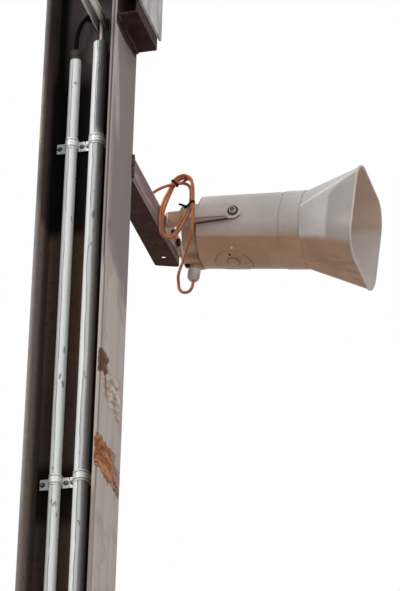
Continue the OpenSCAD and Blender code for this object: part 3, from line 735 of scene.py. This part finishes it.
def horn_shade_and_streaks(finish, s, down, on_flare, cloud):
    """Where painted shade browns the underside, and that brown with dark streaks along
    the keel.

    The brown's upper edge drops along the flare."""
    edge_down, keel_down = 0.0502, 0.093
    ahead = (s - BODY_FRONT).at_least(0.0)
    edge = edge_down + s * 0.035 + ahead * 0.145 + ahead * ahead
    delta = down - edge
    under = (on_flare * delta.above(-0.006, 0.013)
             + (1 - on_flare) * delta.above(-0.0025, 0.004))
    streaks = finish.grain(60, 3, (0.12, 1, 1), (0, TILT, 0))
    keel = on_flare * (down - keel_down - (s - BODY_FRONT) * 0.2).above(-0.012, 0.01)
    return under, finish.coats(
        finish.mix(cloud.above(0.4, 0.2), srgb(182, 145, 118), srgb(173, 136, 109)),
        ((down - s * 0.2).above(0.076, 0.03) * 0.5, 196, 160, 136),
        (keel * streaks.above(0.5, 0.06) * 0.6, 126, 88, 64))


def bell_inside(finish, s, down):
    """Inside the flare: painted shade makes it brown above; grey on its far side and
    below.
    """
    return finish.ramp(down + s * 0.3 - 0.08, (-0.11, 202, 175, 157),
                       (-0.075, 188, 162, 144), (-0.069, 178, 157, 141),
                       (-0.05, 196, 183, 177), (0.0, 204, 192, 187),
                       (0.05, 209, 199, 193))


def throat_finish():
    """The throat plate's brown, in the shade of the bell."""
    finish = Finish("horn_bell", gloss=0.3)
    cloud = finish.grain(11, 4)
    return finish.done(finish.mix(cloud, srgb(150, 128, 112), srgb(166, 148, 136)),
                       0.5, cloud, 0.1)


def cap_finish():
    """The back cap, browned, with painted shade in the groove where it meets the body.
    """
    finish = Finish("cap_enamel", gloss=0.3)
    s, down, _ = shell_axes(finish)
    cloud = finish.grain(18, 5)
    upper = down.below(0.045, 0.02)
    groove = (s + upper * 0.002).above(BODY_BACK - 0.0045, 0.0006)
    colour = finish.coats(
        finish.mix(cloud.above(0.4, 0.25), srgb(178, 146, 123), srgb(192, 164, 143)),
        (down.above(0.05, 0.03), 194, 152, 116),
        # Painted shade in the groove, stronger on its upper side.
        (groove * (0.3 + upper * 0.65), 46, 28, 22))
    return finish.done(colour, 0.45 + cloud * 0.15, cloud, 0.15)


def yoke_finish():
    """Grey enamel on the yoke, with painted shade: browner near the arm, along its
    fold and under its lips, and dark round the washers.
    """
    fold_x, fold_height, fold_slope = 0.155, 0.0423, 0.058
    eye_r, washer_r = 0.0195, 0.0128
    back_x, root_x, side_y, outside_y = 0.0895, 0.132, 0.0925, 0.096
    finish = Finish("yoke_enamel", gloss=0.3)
    x, y, z = finish.axes()
    _, _, nz = finish.facing()
    cloud = finish.grain(22, 5)
    aside = abs(y - PIVOT.y)
    side = (aside - side_y).above(-0.004, 0.003)
    fold = z - ARM_Z - fold_height + (x - fold_x) * fold_slope
    root = (x + cloud.sway(0.03)).below(root_x, 0.02)
    away = apart(x - PIVOT.x, z - PIVOT.z)
    back = x.below(back_x, 0.001)
    plate = finish.mix(cloud.above(0.55, 0.12), srgb(236, 224, 210),
                       srgb(186, 150, 120))
    below = nz.below(-0.5, 0.2) * (1 - back) * x.above(0.13, 0.03)
    lip = finish.mix(aside.above(outside_y, 0.001), srgb(56, 38, 30),
                     srgb(150, 126, 111))
    colour = finish.coats(
        # Painted shade: the face darkens towards the fold, and the lip below it is
        # darker.
        finish.ramp(fold, (0.0, 196, 178, 166), (0.006, 212, 200, 190),
                    (0.02, 219, 211, 205)),
        (fold.below(0.0, 0.001), 172, 148, 132),
        # A painted shadow line along the fold.
        (fold.near(0.0, 0.0006, 0.0008), 126, 103, 90),
        # Painted shade browns the root near the arm.
        (root * 0.9, 186, 138, 108),
        (away.below(eye_r, 0.001) * side, 218, 210, 204),
        # Painted shade round the washer.
        (away.below(washer_r, 0.001) * side, 92, 78, 70),
        (back, plate),
        # Painted shade on faces turned down, darkest on the sheet's own lower edge.
        (below, lip),
        (cloud.above(0.6, 0.1) * 0.25, 120, 98, 84))
    return finish.done(colour, 0.45 + cloud * 0.15, cloud, 0.15)


def pivot_finish():
    """The pivots' bolts and washers: bright, dark in the middle and round."""
    finish = Finish("pivot_zinc", metallic=0.4)
    x, _, z = finish.axes()
    grain = finish.grain(120, 4)
    colour = finish.ramp(apart(x - PIVOT.x, z - PIVOT.z), (0.0, 150, 144, 138),
                         (0.0016, 140, 132, 126), (0.0026, 40, 34, 32),
                         (0.0046, 46, 40, 37), (0.0056, 206, 200, 192),
                         (0.0074, 190, 182, 174), (0.0084, 70, 60, 55),
                         (0.013, 74, 63, 58))
    return finish.done(colour, 0.4 + grain * 0.2, grain, 0.15, 0.0003)


def arm_finish():
    """Weathered paint: a pale side face and a dark brown underside."""
    finish = Finish("arm_paint", gloss=0.15)
    _, y, z = finish.axes()
    nx, _, _ = finish.facing()
    cloud = finish.grain(35, 5)
    streak = finish.grain(80, 4, (1, 0.08, 1))
    rust = finish.grain(40, 6).above(0.62, 0.06)
    side = finish.coats(
        finish.mix(streak.above(0.38, 0.25), srgb(126, 106, 103), srgb(166, 146, 140)),
        ((z - ARM_Z).below(0.0035, 0.002), 70, 52, 48),
        ((ARM_HIGH.z - z).below(0.0016, 0.001), 186, 172, 166))
    weld = (y + cloud.sway(0.03)).below(HALF_W + 0.008, 0.006)
    colour = finish.coats(
        finish.mix(cloud.above(0.4, 0.25), srgb(58, 33, 25), srgb(76, 46, 36)),
        (nx.above(0.5, 0.2), side),
        (weld * 0.85, 46, 34, 32),
        (rust * 0.4, 104, 62, 40))
    return finish.done(colour, 0.6 + cloud * 0.2, cloud * 0.6 + streak * 0.4, 0.25)


def bracket_finish():
    """Dark brown primer with rough spatter."""
    finish = Finish("bracket_primer", gloss=0.15)
    nx, _, _ = finish.facing()
    cloud = finish.grain(28, 6)
    spatter = finish.grain(160, 5)
    colour = finish.coats(
        finish.mix(cloud.above(0.4, 0.25), srgb(40, 19, 19), srgb(62, 36, 34)),
        (nx.above(0.5, 0.2) * 0.8, 64, 48, 46),
        (spatter.above(0.6, 0.08) * 0.4, 104, 78, 70))
    return finish.done(colour, 0.65 + cloud * 0.2, cloud + spatter * 0.5, 0.4, 0.0008)


def pad_finish():
    """The pad plate: weathered pale grey, with a dark ragged near edge."""
    finish = Finish("pad_paint", gloss=0.25)
    _, y, _ = finish.axes()
    low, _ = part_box("bracket_pad")
    cloud = finish.grain(24, 5, (1, 1, 0.4))
    ragged = finish.grain(70, 5)
    rim = (y - low.y + ragged.sway(0.05)).below(0.013, 0.004)
    colour = finish.coats(
        finish.mix(cloud.above(0.4, 0.25), srgb(214, 208, 210), srgb(166, 158, 158)),
        (rim * ragged.above(0.45, 0.1), 40, 34, 36))
    return finish.done(colour, 0.55 + cloud * 0.15, cloud + ragged * 0.5, 0.25, 0.0006)


def strut_finish():
    """Dull galvanising, pale on its outer sides, with painted shade inside the
    channel.
    """
    wall, end_y = 0.003, -0.052
    finish = Finish("strut_zinc", gloss=0.3, metallic=0.1)
    x, y, z = finish.axes()
    low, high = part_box("front_strut")
    run = finish.grain(40, 5, (1, 0.15, 1))
    inner = (x.near((low.x + high.x) / 2, (high.x - low.x) / 2 - wall, 0.0005)
             * z.below(high.z - wall, 0.0005))
    colour = finish.coats(
        finish.mix(run.above(0.4, 0.2), srgb(240, 231, 226), srgb(196, 184, 178)),
        (y.above(end_y, 0.01) * run.above(0.5, 0.05) * 0.8, 90, 78, 74),
        # Painted shade inside the channel.
        (inner, 150, 136, 130))
    return finish.done(colour, 0.5 + run * 0.2, run, 0.2)


def sheath_finish(name, dark, pale, shine, gloss=0.5):
    """A cable's sheath, with painted shade below and a painted highlight on its lit
    side, grimy, and its colour.

    Its roughness is shine."""
    finish = Finish(name, gloss=gloss)
    nx, _, nz = finish.facing()
    cloud = finish.grain(16, 4)
    grime = finish.grain(90, 5).above(0.6, 0.1)
    lit = nz * 0.6 - nx * 0.5
    bright = [c + (max(pale) - c) * 0.35 for c in pale]
    colour = finish.coats(
        finish.mix(cloud.above(0.35, 0.3) * 0.6, pale, dark),
        # Painted shade on the side away from the light.
        (lit.below(0.1, 0.4) * 0.85, scaled(dark, 0.4)),
        # A painted highlight on the lit side.
        (lit.above(0.15, 0.3) * 0.85, bright),
        (grime * 0.35, scaled(dark, 0.35)))
    finish.done(colour, shine + cloud * 0.12, grime, 0.08, 0.0003)
    return finish, colour


# Operators

class SIREN_OT_camera(bpy.types.Operator):
    """Sets the camera below and in front of the mast"""
    bl_idname = "siren.camera"
    bl_label = "Camera"

    # Where the viewer stands in metres, how the view is turned in degrees,
    # and the sensor and lens in millimetres.
    PLACE = (2.1705, -6.6322, 1.5738)
    YAW, PITCH, ROLL = 16.04, 29.91, 1.65
    SENSOR, LENS = 36.0, 233.1
    FAR = 100.0

    def execute(self, context):
        data = bpy.data.cameras.new("camera")
        data.sensor_fit = "AUTO"
        data.sensor_width = self.SENSOR
        data.lens = self.LENS
        data.clip_end = self.FAR
        camera = bpy.data.objects.new("camera", data)
        context.scene.collection.objects.link(camera)
        yaw, pitch, roll = map(math.radians, (self.YAW, self.PITCH, self.ROLL))
        ahead = Vector((-math.sin(yaw) * math.cos(pitch),
                        math.cos(yaw) * math.cos(pitch), math.sin(pitch)))
        level = Vector((math.cos(yaw), math.sin(yaw), 0))
        up = level.cross(ahead)
        right = math.cos(roll) * level + math.sin(roll) * up
        top = -math.sin(roll) * level + math.cos(roll) * up
        turned = Matrix((right, top, -ahead)).transposed().to_4x4()
        camera.matrix_world = Matrix.Translation(self.PLACE) @ turned
        context.scene.camera = camera
        return {"FINISHED"}


class SIREN_OT_cables(bpy.types.Operator):
    """Makes the orange and the black cable along their routes"""
    bl_idname = "siren.cables"
    bl_label = "Cables"

    # Steps between two points of a route, and sides of the tube.
    PER_POINT, SIDES = 5, 16
    # Where the orange cable's bend would start and end as the horn tilts: on the way
    # down from the loop, and in the gland. Nothing here uses them.
    BEND = ((156, 298, -2), (125, 425, -67))
    # The orange cable is dusty this high over the arm, on this side of Y.
    DUSTY, DUSTY_Y = 0.25, -0.008

    def execute(self, context):
        self.orange()
        self.black()
        return {"FINISHED"}

    def cable(self, name, route, diameter, finish, slot):
        line = spline(metres(route), self.PER_POINT)
        bm = bmesh.new()
        tube(bm, line, [diameter / 2] * len(line), self.SIDES)
        piece = mesh_piece(name, bm, finish)
        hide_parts(slot)
        length = sum((b - a).length for a, b in zip(line, line[1:]))
        return piece, line, length

    def orange(self):
        sheath = colours().sheath
        finish, colour = sheath_finish(
            "orange_sheath", scaled(sheath, 0.62), sheath, 0.32)
        _, y, z = finish.axes()
        dusty = (z - ARM_Z).above(self.DUSTY, 0.01) * y.below(self.DUSTY_Y, 0.01)
        finish.feed("Base Color", finish.mix(dusty * 0.9, colour,
                                             srgb(226, 208, 202)))
        diameter = sizes().orange_d
        piece, line, length = self.cable(
            "orange_cable", RISE + LOOP + DROP, diameter, finish, "horn_cable")
        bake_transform(piece)

    def black(self):
        finish, _ = sheath_finish(
            "black_sheath", srgb(4, 3, 4), srgb(12, 10, 10), 0.75, 0.08)
        diameter = sizes().black_d
        piece, line, length = self.cable(
            "black_cable", BLACK, diameter, finish, "feed_cable")
        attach(piece, TOWER)


class SIREN_OT_welds(bpy.types.Operator):
    """Lays the weld beads that hold the brackets, arm and base"""
    bl_idname = "siren.welds"
    bl_label = "Welds"

    # Length of one ripple, its steps along the bead, and the bead's sides.
    RIPPLE = 0.0042
    PER_RIPPLE, SIDES = 3, 10
    # How deep the beads lie in their welds' boxes, and how far inside them
    # the beads of a pair do; the base's lie off the column and over the plate.
    BRACKET_IN, STRUT_IN, ARM_IN, PAIR_IN = 0.0025, 0.0015, 0.0015, 0.0035
    BASE_OFF, BASE_OVER = 0.002, 0.003
    # How far a bead strays from its line, and by what shares of its radius
    # it varies and swells along a ripple; END is its share at both ends.
    STRAY, VARIES, SWELLS, END = 0.0004, 0.06, 0.14, 0.75

    def execute(self, context):
        brown = plain_finish("weld_brown", srgb(26, 12, 11), srgb(88, 62, 54),
                             110, 0.7, 0.0, 0.5, 0.2)
        pale = plain_finish("weld_pale", srgb(40, 30, 30), srgb(96, 80, 76),
                            90, 0.6, 0.0, 0.4, 0.2)
        grey = plain_finish("weld_grey", srgb(92, 84, 78), srgb(130, 118, 108),
                            90, 0.65, 0.0, 0.4)
        low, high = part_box("bracket_weld")
        x = low.x + self.BRACKET_IN
        self.beads("bracket_weld", [
            [(x, low.y, z), (x, high.y, z)]
            for z in (low.z + self.PAIR_IN, high.z - self.PAIR_IN)], brown)
        low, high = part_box("strut_weld")
        y = high.y - self.STRUT_IN
        self.beads("strut_weld", [
            [(x, y, low.z), (x, y, high.z)]
            for x in (low.x + self.PAIR_IN, high.x - self.PAIR_IN)], brown)
        low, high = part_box("arm_weld")
        x = low.x + self.ARM_IN
        self.beads("arm_weld", [[(x, HALF_W, low.z), (x, HALF_W, high.z)]], pale)
        low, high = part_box("base_weld")
        x, over = HALF_D + self.BASE_OFF, self.BASE_OVER
        self.beads("base_weld", [
            [(side * x, low.y + over, low.z + over),
             (side * x, high.y - over, low.z + over)]
            for side in (-1, 1)], grey)
        return {"FINISHED"}

    def beads(self, node, runs, finish):
        """One piece of rippled beads, each from one point to another."""
        rng = random.Random(node)
        bm = bmesh.new()
        for start, end in runs:
            start, end = Vector(start), Vector(end)
            count = int((end - start).length / self.RIPPLE) * self.PER_RIPPLE
            line, radii = [], []
            for i in range(count + 1):
                swell = abs(math.sin(math.pi * i / self.PER_RIPPLE / 2))
                sway = Vector([rng.uniform(-self.STRAY, self.STRAY)
                               for _ in range(3)])
                line.append(start.lerp(end, i / count) + sway)
                taper = self.END if i in (0, count) else 1.0
                radii.append(sizes().bead * taper * (
                    1 - self.SWELLS + self.SWELLS * swell
                    + rng.uniform(-self.VARIES, self.VARIES)))
            tube(bm, line, radii, self.SIDES)
        piece = mesh_piece(node + "_bead", bm, finish)
        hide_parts(node)
        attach(piece, TOWER)


class SIREN_OT_fittings(bpy.types.Operator):
    """Adds the round cover, rivet and drain hole under the horn's body"""
    bl_idname = "siren.fittings"
    bl_label = "Small fittings"

    # Each fitting's middle: metres ahead of the pivot, degrees round from
    # level, and for the hub also metres to +Y of the horn's axis.
    COVER_S, COVER_TURN = -0.0107, 90
    HUB_S, HUB_TURN, HUB_W = -0.0092, 82.8, -0.0105
    RIVET_S, RIVET_TURN = -0.007, 55.3
    DRAIN_S, DRAIN_TURN = -0.0137, 67.2
    # Radius and height of each ring, from the middle out.
    COVER = (*((0.009 * k, 0.0012) for k in range(5)),
             (0.0435, 0.0012), (0.045, -0.0006))
    HUB = ((0.0, 0.0024), (0.0065, 0.0024), (0.013, 0.0024), (0.0142, 0.0008))
    RIVET = ((0.0, 0.0018), (0.0022, 0.0014), (0.0036, -0.0004))
    DRAIN = ((0.0, 0.0014), (0.0024, 0.0016), (0.0032, 0.0002))

    def execute(self, context):
        enamel = self.enamel()
        bright = plain_finish("rivet", srgb(220, 200, 184), srgb(246, 232, 220),
                              200, 0.4)
        dark = plain_finish("drain", srgb(10, 6, 5), srgb(22, 15, 13), 200, 0.8,
                            gloss=0.1)
        for name, s, turn, rings, sides, finish in (
                ("body_cover", self.COVER_S, self.COVER_TURN, self.COVER, 48, enamel),
                ("cover_hub", self.HUB_S, self.HUB_TURN, self.HUB, 32, enamel),
                ("body_rivet", self.RIVET_S, self.RIVET_TURN, self.RIVET, 16, bright),
                ("body_drain", self.DRAIN_S, self.DRAIN_TURN, self.DRAIN, 16, dark)):
            self.boss(name, s, turn, rings, sides, finish)
        return {"FINISHED"}

    def enamel(self):
        """The cover's brown, with dark lines round its rim and its hub."""
        finish = Finish("cover_enamel", gloss=0.3)
        s, down, w = shell_axes(finish)
        cloud = finish.grain(20, 4)
        low_side = 0.4 + down.above(0.077, 0.006) * 0.5
        colour = finish.mix(cloud.above(0.4, 0.2), srgb(175, 138, 109),
                            srgb(167, 130, 102))
        for ahead, across, radius in ((self.COVER_S, 0.0, 0.0443),
                                      (self.HUB_S, self.HUB_W, 0.0142)):
            line = apart(s - ahead, w - across).near(radius, 0.0008, 0.0008)
            colour = finish.mix(line * low_side, colour, srgb(104, 74, 55))
        return finish.done(colour, 0.5, cloud, 0.1)

    def boss(self, name, middle, below, profile, sides, finish):
        """A round boss on the body's cone, below degrees under level."""
        bm = bmesh.new()
        rings = []
        for radius, height in profile:
            ring = []
            for k in range(sides if radius else 1):
                turn = 2 * math.pi * k / sides
                s = middle + radius * math.cos(turn)
                share = (s - BODY_BACK) / (BODY_FRONT - BODY_BACK)
                r = BODY_R0 + (BODY_R1 - BODY_R0) * share
                angle = math.radians(below) + radius * math.sin(turn) / r
                ring.append(bm.verts.new(on_horn(
                    s, (r + height) * math.sin(angle),
                    -(r + height) * math.cos(angle))))
            rings.append(ring)
        for inner, outer in zip(rings, rings[1:]):
            for k in range(sides):
                j = (k + 1) % sides
                if len(inner) == 1:
                    bm.faces.new((inner[0], outer[k], outer[j]))
                else:
                    bm.faces.new((inner[k], outer[k], outer[j], inner[j]))
        bm.faces.new(rings[-1][::-1])
        piece = mesh_piece(name, bm, finish)
        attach(piece, SIREN)


class SIREN_OT_steel(bpy.types.Operator):
    """Paints the column, base, brackets and arm"""
    bl_idname = "siren.steel"
    bl_label = "Painted steel"

    def execute(self, context):
        dress("column", column_finish())
        dress("base_plate cap_plate", plain_finish(
            "plate_paint", srgb(104, 96, 90), srgb(142, 132, 124), 14, 0.65))
        dress("upper_bracket", bracket_finish())
        dress("bracket_pad", pad_finish())
        dress("front_strut", strut_finish())
        dress("arm_angle", arm_finish())
        return {"FINISHED"}


class SIREN_OT_zinc(bpy.types.Operator):
    """Galvanises the conduits, saddles and fixings"""
    bl_idname = "siren.zinc"
    bl_label = "Galvanised steel"

    # The conduits' radii, and their painted light and shade from one side to the
    # other.
    SMALL_R, LARGE_R = 0.0125, 0.016
    SMALL_SHADES = (
        (-1.0, 206, 209, 207), (-0.7, 246, 248, 246),
        (-0.4, 236, 239, 237), (-0.2, 172, 177, 175),
        (0.1, 236, 239, 237), (0.6, 226, 228, 226),
        (1.0, 190, 188, 186))
    LARGE_SHADES = (
        (-1.0, 220, 222, 220), (-0.7, 250, 252, 250),
        (-0.35, 248, 250, 248), (-0.1, 176, 180, 178),
        (0.25, 210, 212, 210), (0.42, 136, 132, 130),
        (1.0, 118, 110, 106))
    # How dirty their tops are.
    SMALL_DIRT, LARGE_DIRT = 0.0, 0.8

    def execute(self, context):
        dress("conduit_small", zinc_finish("conduit_zinc_small", 1.0, (
            PIPE_SMALL, self.SMALL_R, self.SMALL_SHADES, self.SMALL_DIRT)))
        dress("conduit_large", zinc_finish("conduit_zinc_large", 1.05, (
            PIPE_LARGE, self.LARGE_R, self.LARGE_SHADES, self.LARGE_DIRT)))
        dress("saddles_small saddles_large", saddle_finish())
        dress("spacer_bars", zinc_finish("bar_zinc", 0.7))
        dress("saddle_screws", plain_finish(
            "screw_zinc", srgb(70, 64, 60), srgb(120, 114, 108), 150, 0.45, 0.7))
        dress("anchor_bolts anchor_nuts anchor_washers", plain_finish(
            "anchor_zinc", srgb(150, 148, 144), srgb(184, 182, 178), 80, 0.5, 0.7))
        dress("pivot_bolts pivot_washers", pivot_finish())
        dress("yoke_bolts yoke_nuts", plain_finish(
            "fixing_dark", srgb(20, 15, 15), srgb(50, 42, 39), 120, 0.6, gloss=0.2))
        return {"FINISHED"}


class SIREN_OT_rubber(bpy.types.Operator):
    """Colours the bushing, grommets, ties and plug"""
    bl_idname = "siren.rubber"
    bl_label = "Rubber and ties"

    def execute(self, context):
        dress("web_grommets blank_plug cable_ties", plain_finish(
            "black_rubber", srgb(8, 6, 6), srgb(24, 18, 18), 90, 0.7, gloss=0.1))
        dress("conduit_bushing", plain_finish(
            "bushing", srgb(50, 40, 37), srgb(80, 66, 61), 90, 0.7, gloss=0.15))
        return {"FINISHED"}


class SIREN_OT_horn(bpy.types.Operator):
    """Colours the horn, its yoke and its gland"""
    bl_idname = "siren.horn"
    bl_label = "Horn"

    def execute(self, context):
        dress("horn_body horn_collar horn_flare pivot_bosses", horn_finish())
        dress("throat_plate", throat_finish())
        dress("rear_cap", cap_finish())
        dress("yoke", yoke_finish())
        dress("gland_nut", plain_finish(
            "nut_nylon", srgb(168, 152, 142), srgb(196, 184, 175), 60, 0.5))
        dress("cable_gland", plain_finish(
            "gland_nylon", srgb(150, 124, 108), srgb(176, 152, 136), 60, 0.5))
        return {"FINISHED"}


class SIREN_OT_stage(bpy.types.Operator):
    """Adds the pale floor, the lamps and the world"""
    bl_idname = "siren.stage"
    bl_label = "Stage"

    # Name, place, power in watts and size in metres of each lamp, and the
    # point that they all face.
    LAMPS = (("key", (-5.0, -6.5, 14.0), 620.0, 2.5),
             ("fill", (5.0, -4.0, 7.0), 90.0, 4.0))
    AIM = Vector((0.1, 0.2, 5.6))
    # How brightly the world lights the object; what is seen of it is white.
    AMBIENT = 0.5
    # The floor's side, and how far it lies below the base plate.
    FLOOR, BELOW = 60.0, 0.0005

    def execute(self, context):
        scene = context.scene
        scene.view_settings.view_transform = "Standard"
        self.floor()
        self.world(scene)
        for lamp in self.LAMPS:
            self.lamp(*lamp)
        return {"FINISHED"}

    def floor(self):
        bpy.ops.mesh.primitive_plane_add(size=self.FLOOR,
                                         location=(0, 0, -self.BELOW))
        floor = bpy.context.object
        floor.name = "floor"
        finish = Finish("floor", roughness=0.9, base_color=(0.8, 0.8, 0.8, 1))
        floor.data.materials.append(finish.material)

    def world(self, scene):
        world = bpy.data.worlds.new("world")
        scene.world = world
        world.use_nodes = True
        tree = Tree(world.node_tree)
        back = world.node_tree.nodes["Background"]
        camera, glossy, through = tree.node(
            "ShaderNodeLightPath",
            out=("Is Camera Ray", "Is Glossy Ray", "Is Transmission Ray"))
        seen = camera.at_least(glossy).at_least(through)
        tree.plug(back.inputs["Color"], (1, 1, 1, 1))
        tree.plug(back.inputs["Strength"], self.AMBIENT + seen * (1 - self.AMBIENT))

    def lamp(self, name, place, power, size):
        data = bpy.data.lights.new(name, "AREA")
        data.energy = power
        data.size = size
        lamp = bpy.data.objects.new(name, data)
        bpy.context.scene.collection.objects.link(lamp)
        lamp.location = place
        aim = self.AIM - Vector(place)
        lamp.rotation_euler = aim.to_track_quat("-Z", "Y").to_euler()


class SIREN_PT_panel(bpy.types.Panel):
    """Lists the siren mast's pieces"""
    bl_idname = "SIREN_PT_panel"
    bl_label = "Siren mast"
    bl_space_type = "VIEW_3D"
    bl_region_type = "UI"
    bl_category = "Siren mast"

    def draw(self, context):
        layout = self.layout
        for group in (sizes(), colours()):
            for key in group.__annotations__:
                layout.prop(group, key)
        for step in STEPS:
            layout.operator(step.bl_idname)


STEPS = (SIREN_OT_camera, SIREN_OT_cables, SIREN_OT_welds, SIREN_OT_fittings,
         SIREN_OT_steel, SIREN_OT_zinc, SIREN_OT_rubber, SIREN_OT_horn,
         SIREN_OT_stage)
CLASSES = (CableSizes, MastColours, *STEPS, SIREN_PT_panel)


def register():
    for item in CLASSES:
        bpy.utils.register_class(item)
    bpy.types.Scene.siren_sizes = bpy.props.PointerProperty(type=CableSizes)
    bpy.types.Scene.siren_colours = bpy.props.PointerProperty(type=MastColours)


def unregister():
    del bpy.types.Scene.siren_colours
    del bpy.types.Scene.siren_sizes
    for item in reversed(CLASSES):
        bpy.utils.unregister_class(item)


def main():
    register()
    for step in STEPS:
        group, name = step.bl_idname.split(".")
        getattr(getattr(bpy.ops, group), name)()


if __name__ == "__main__":
    main()
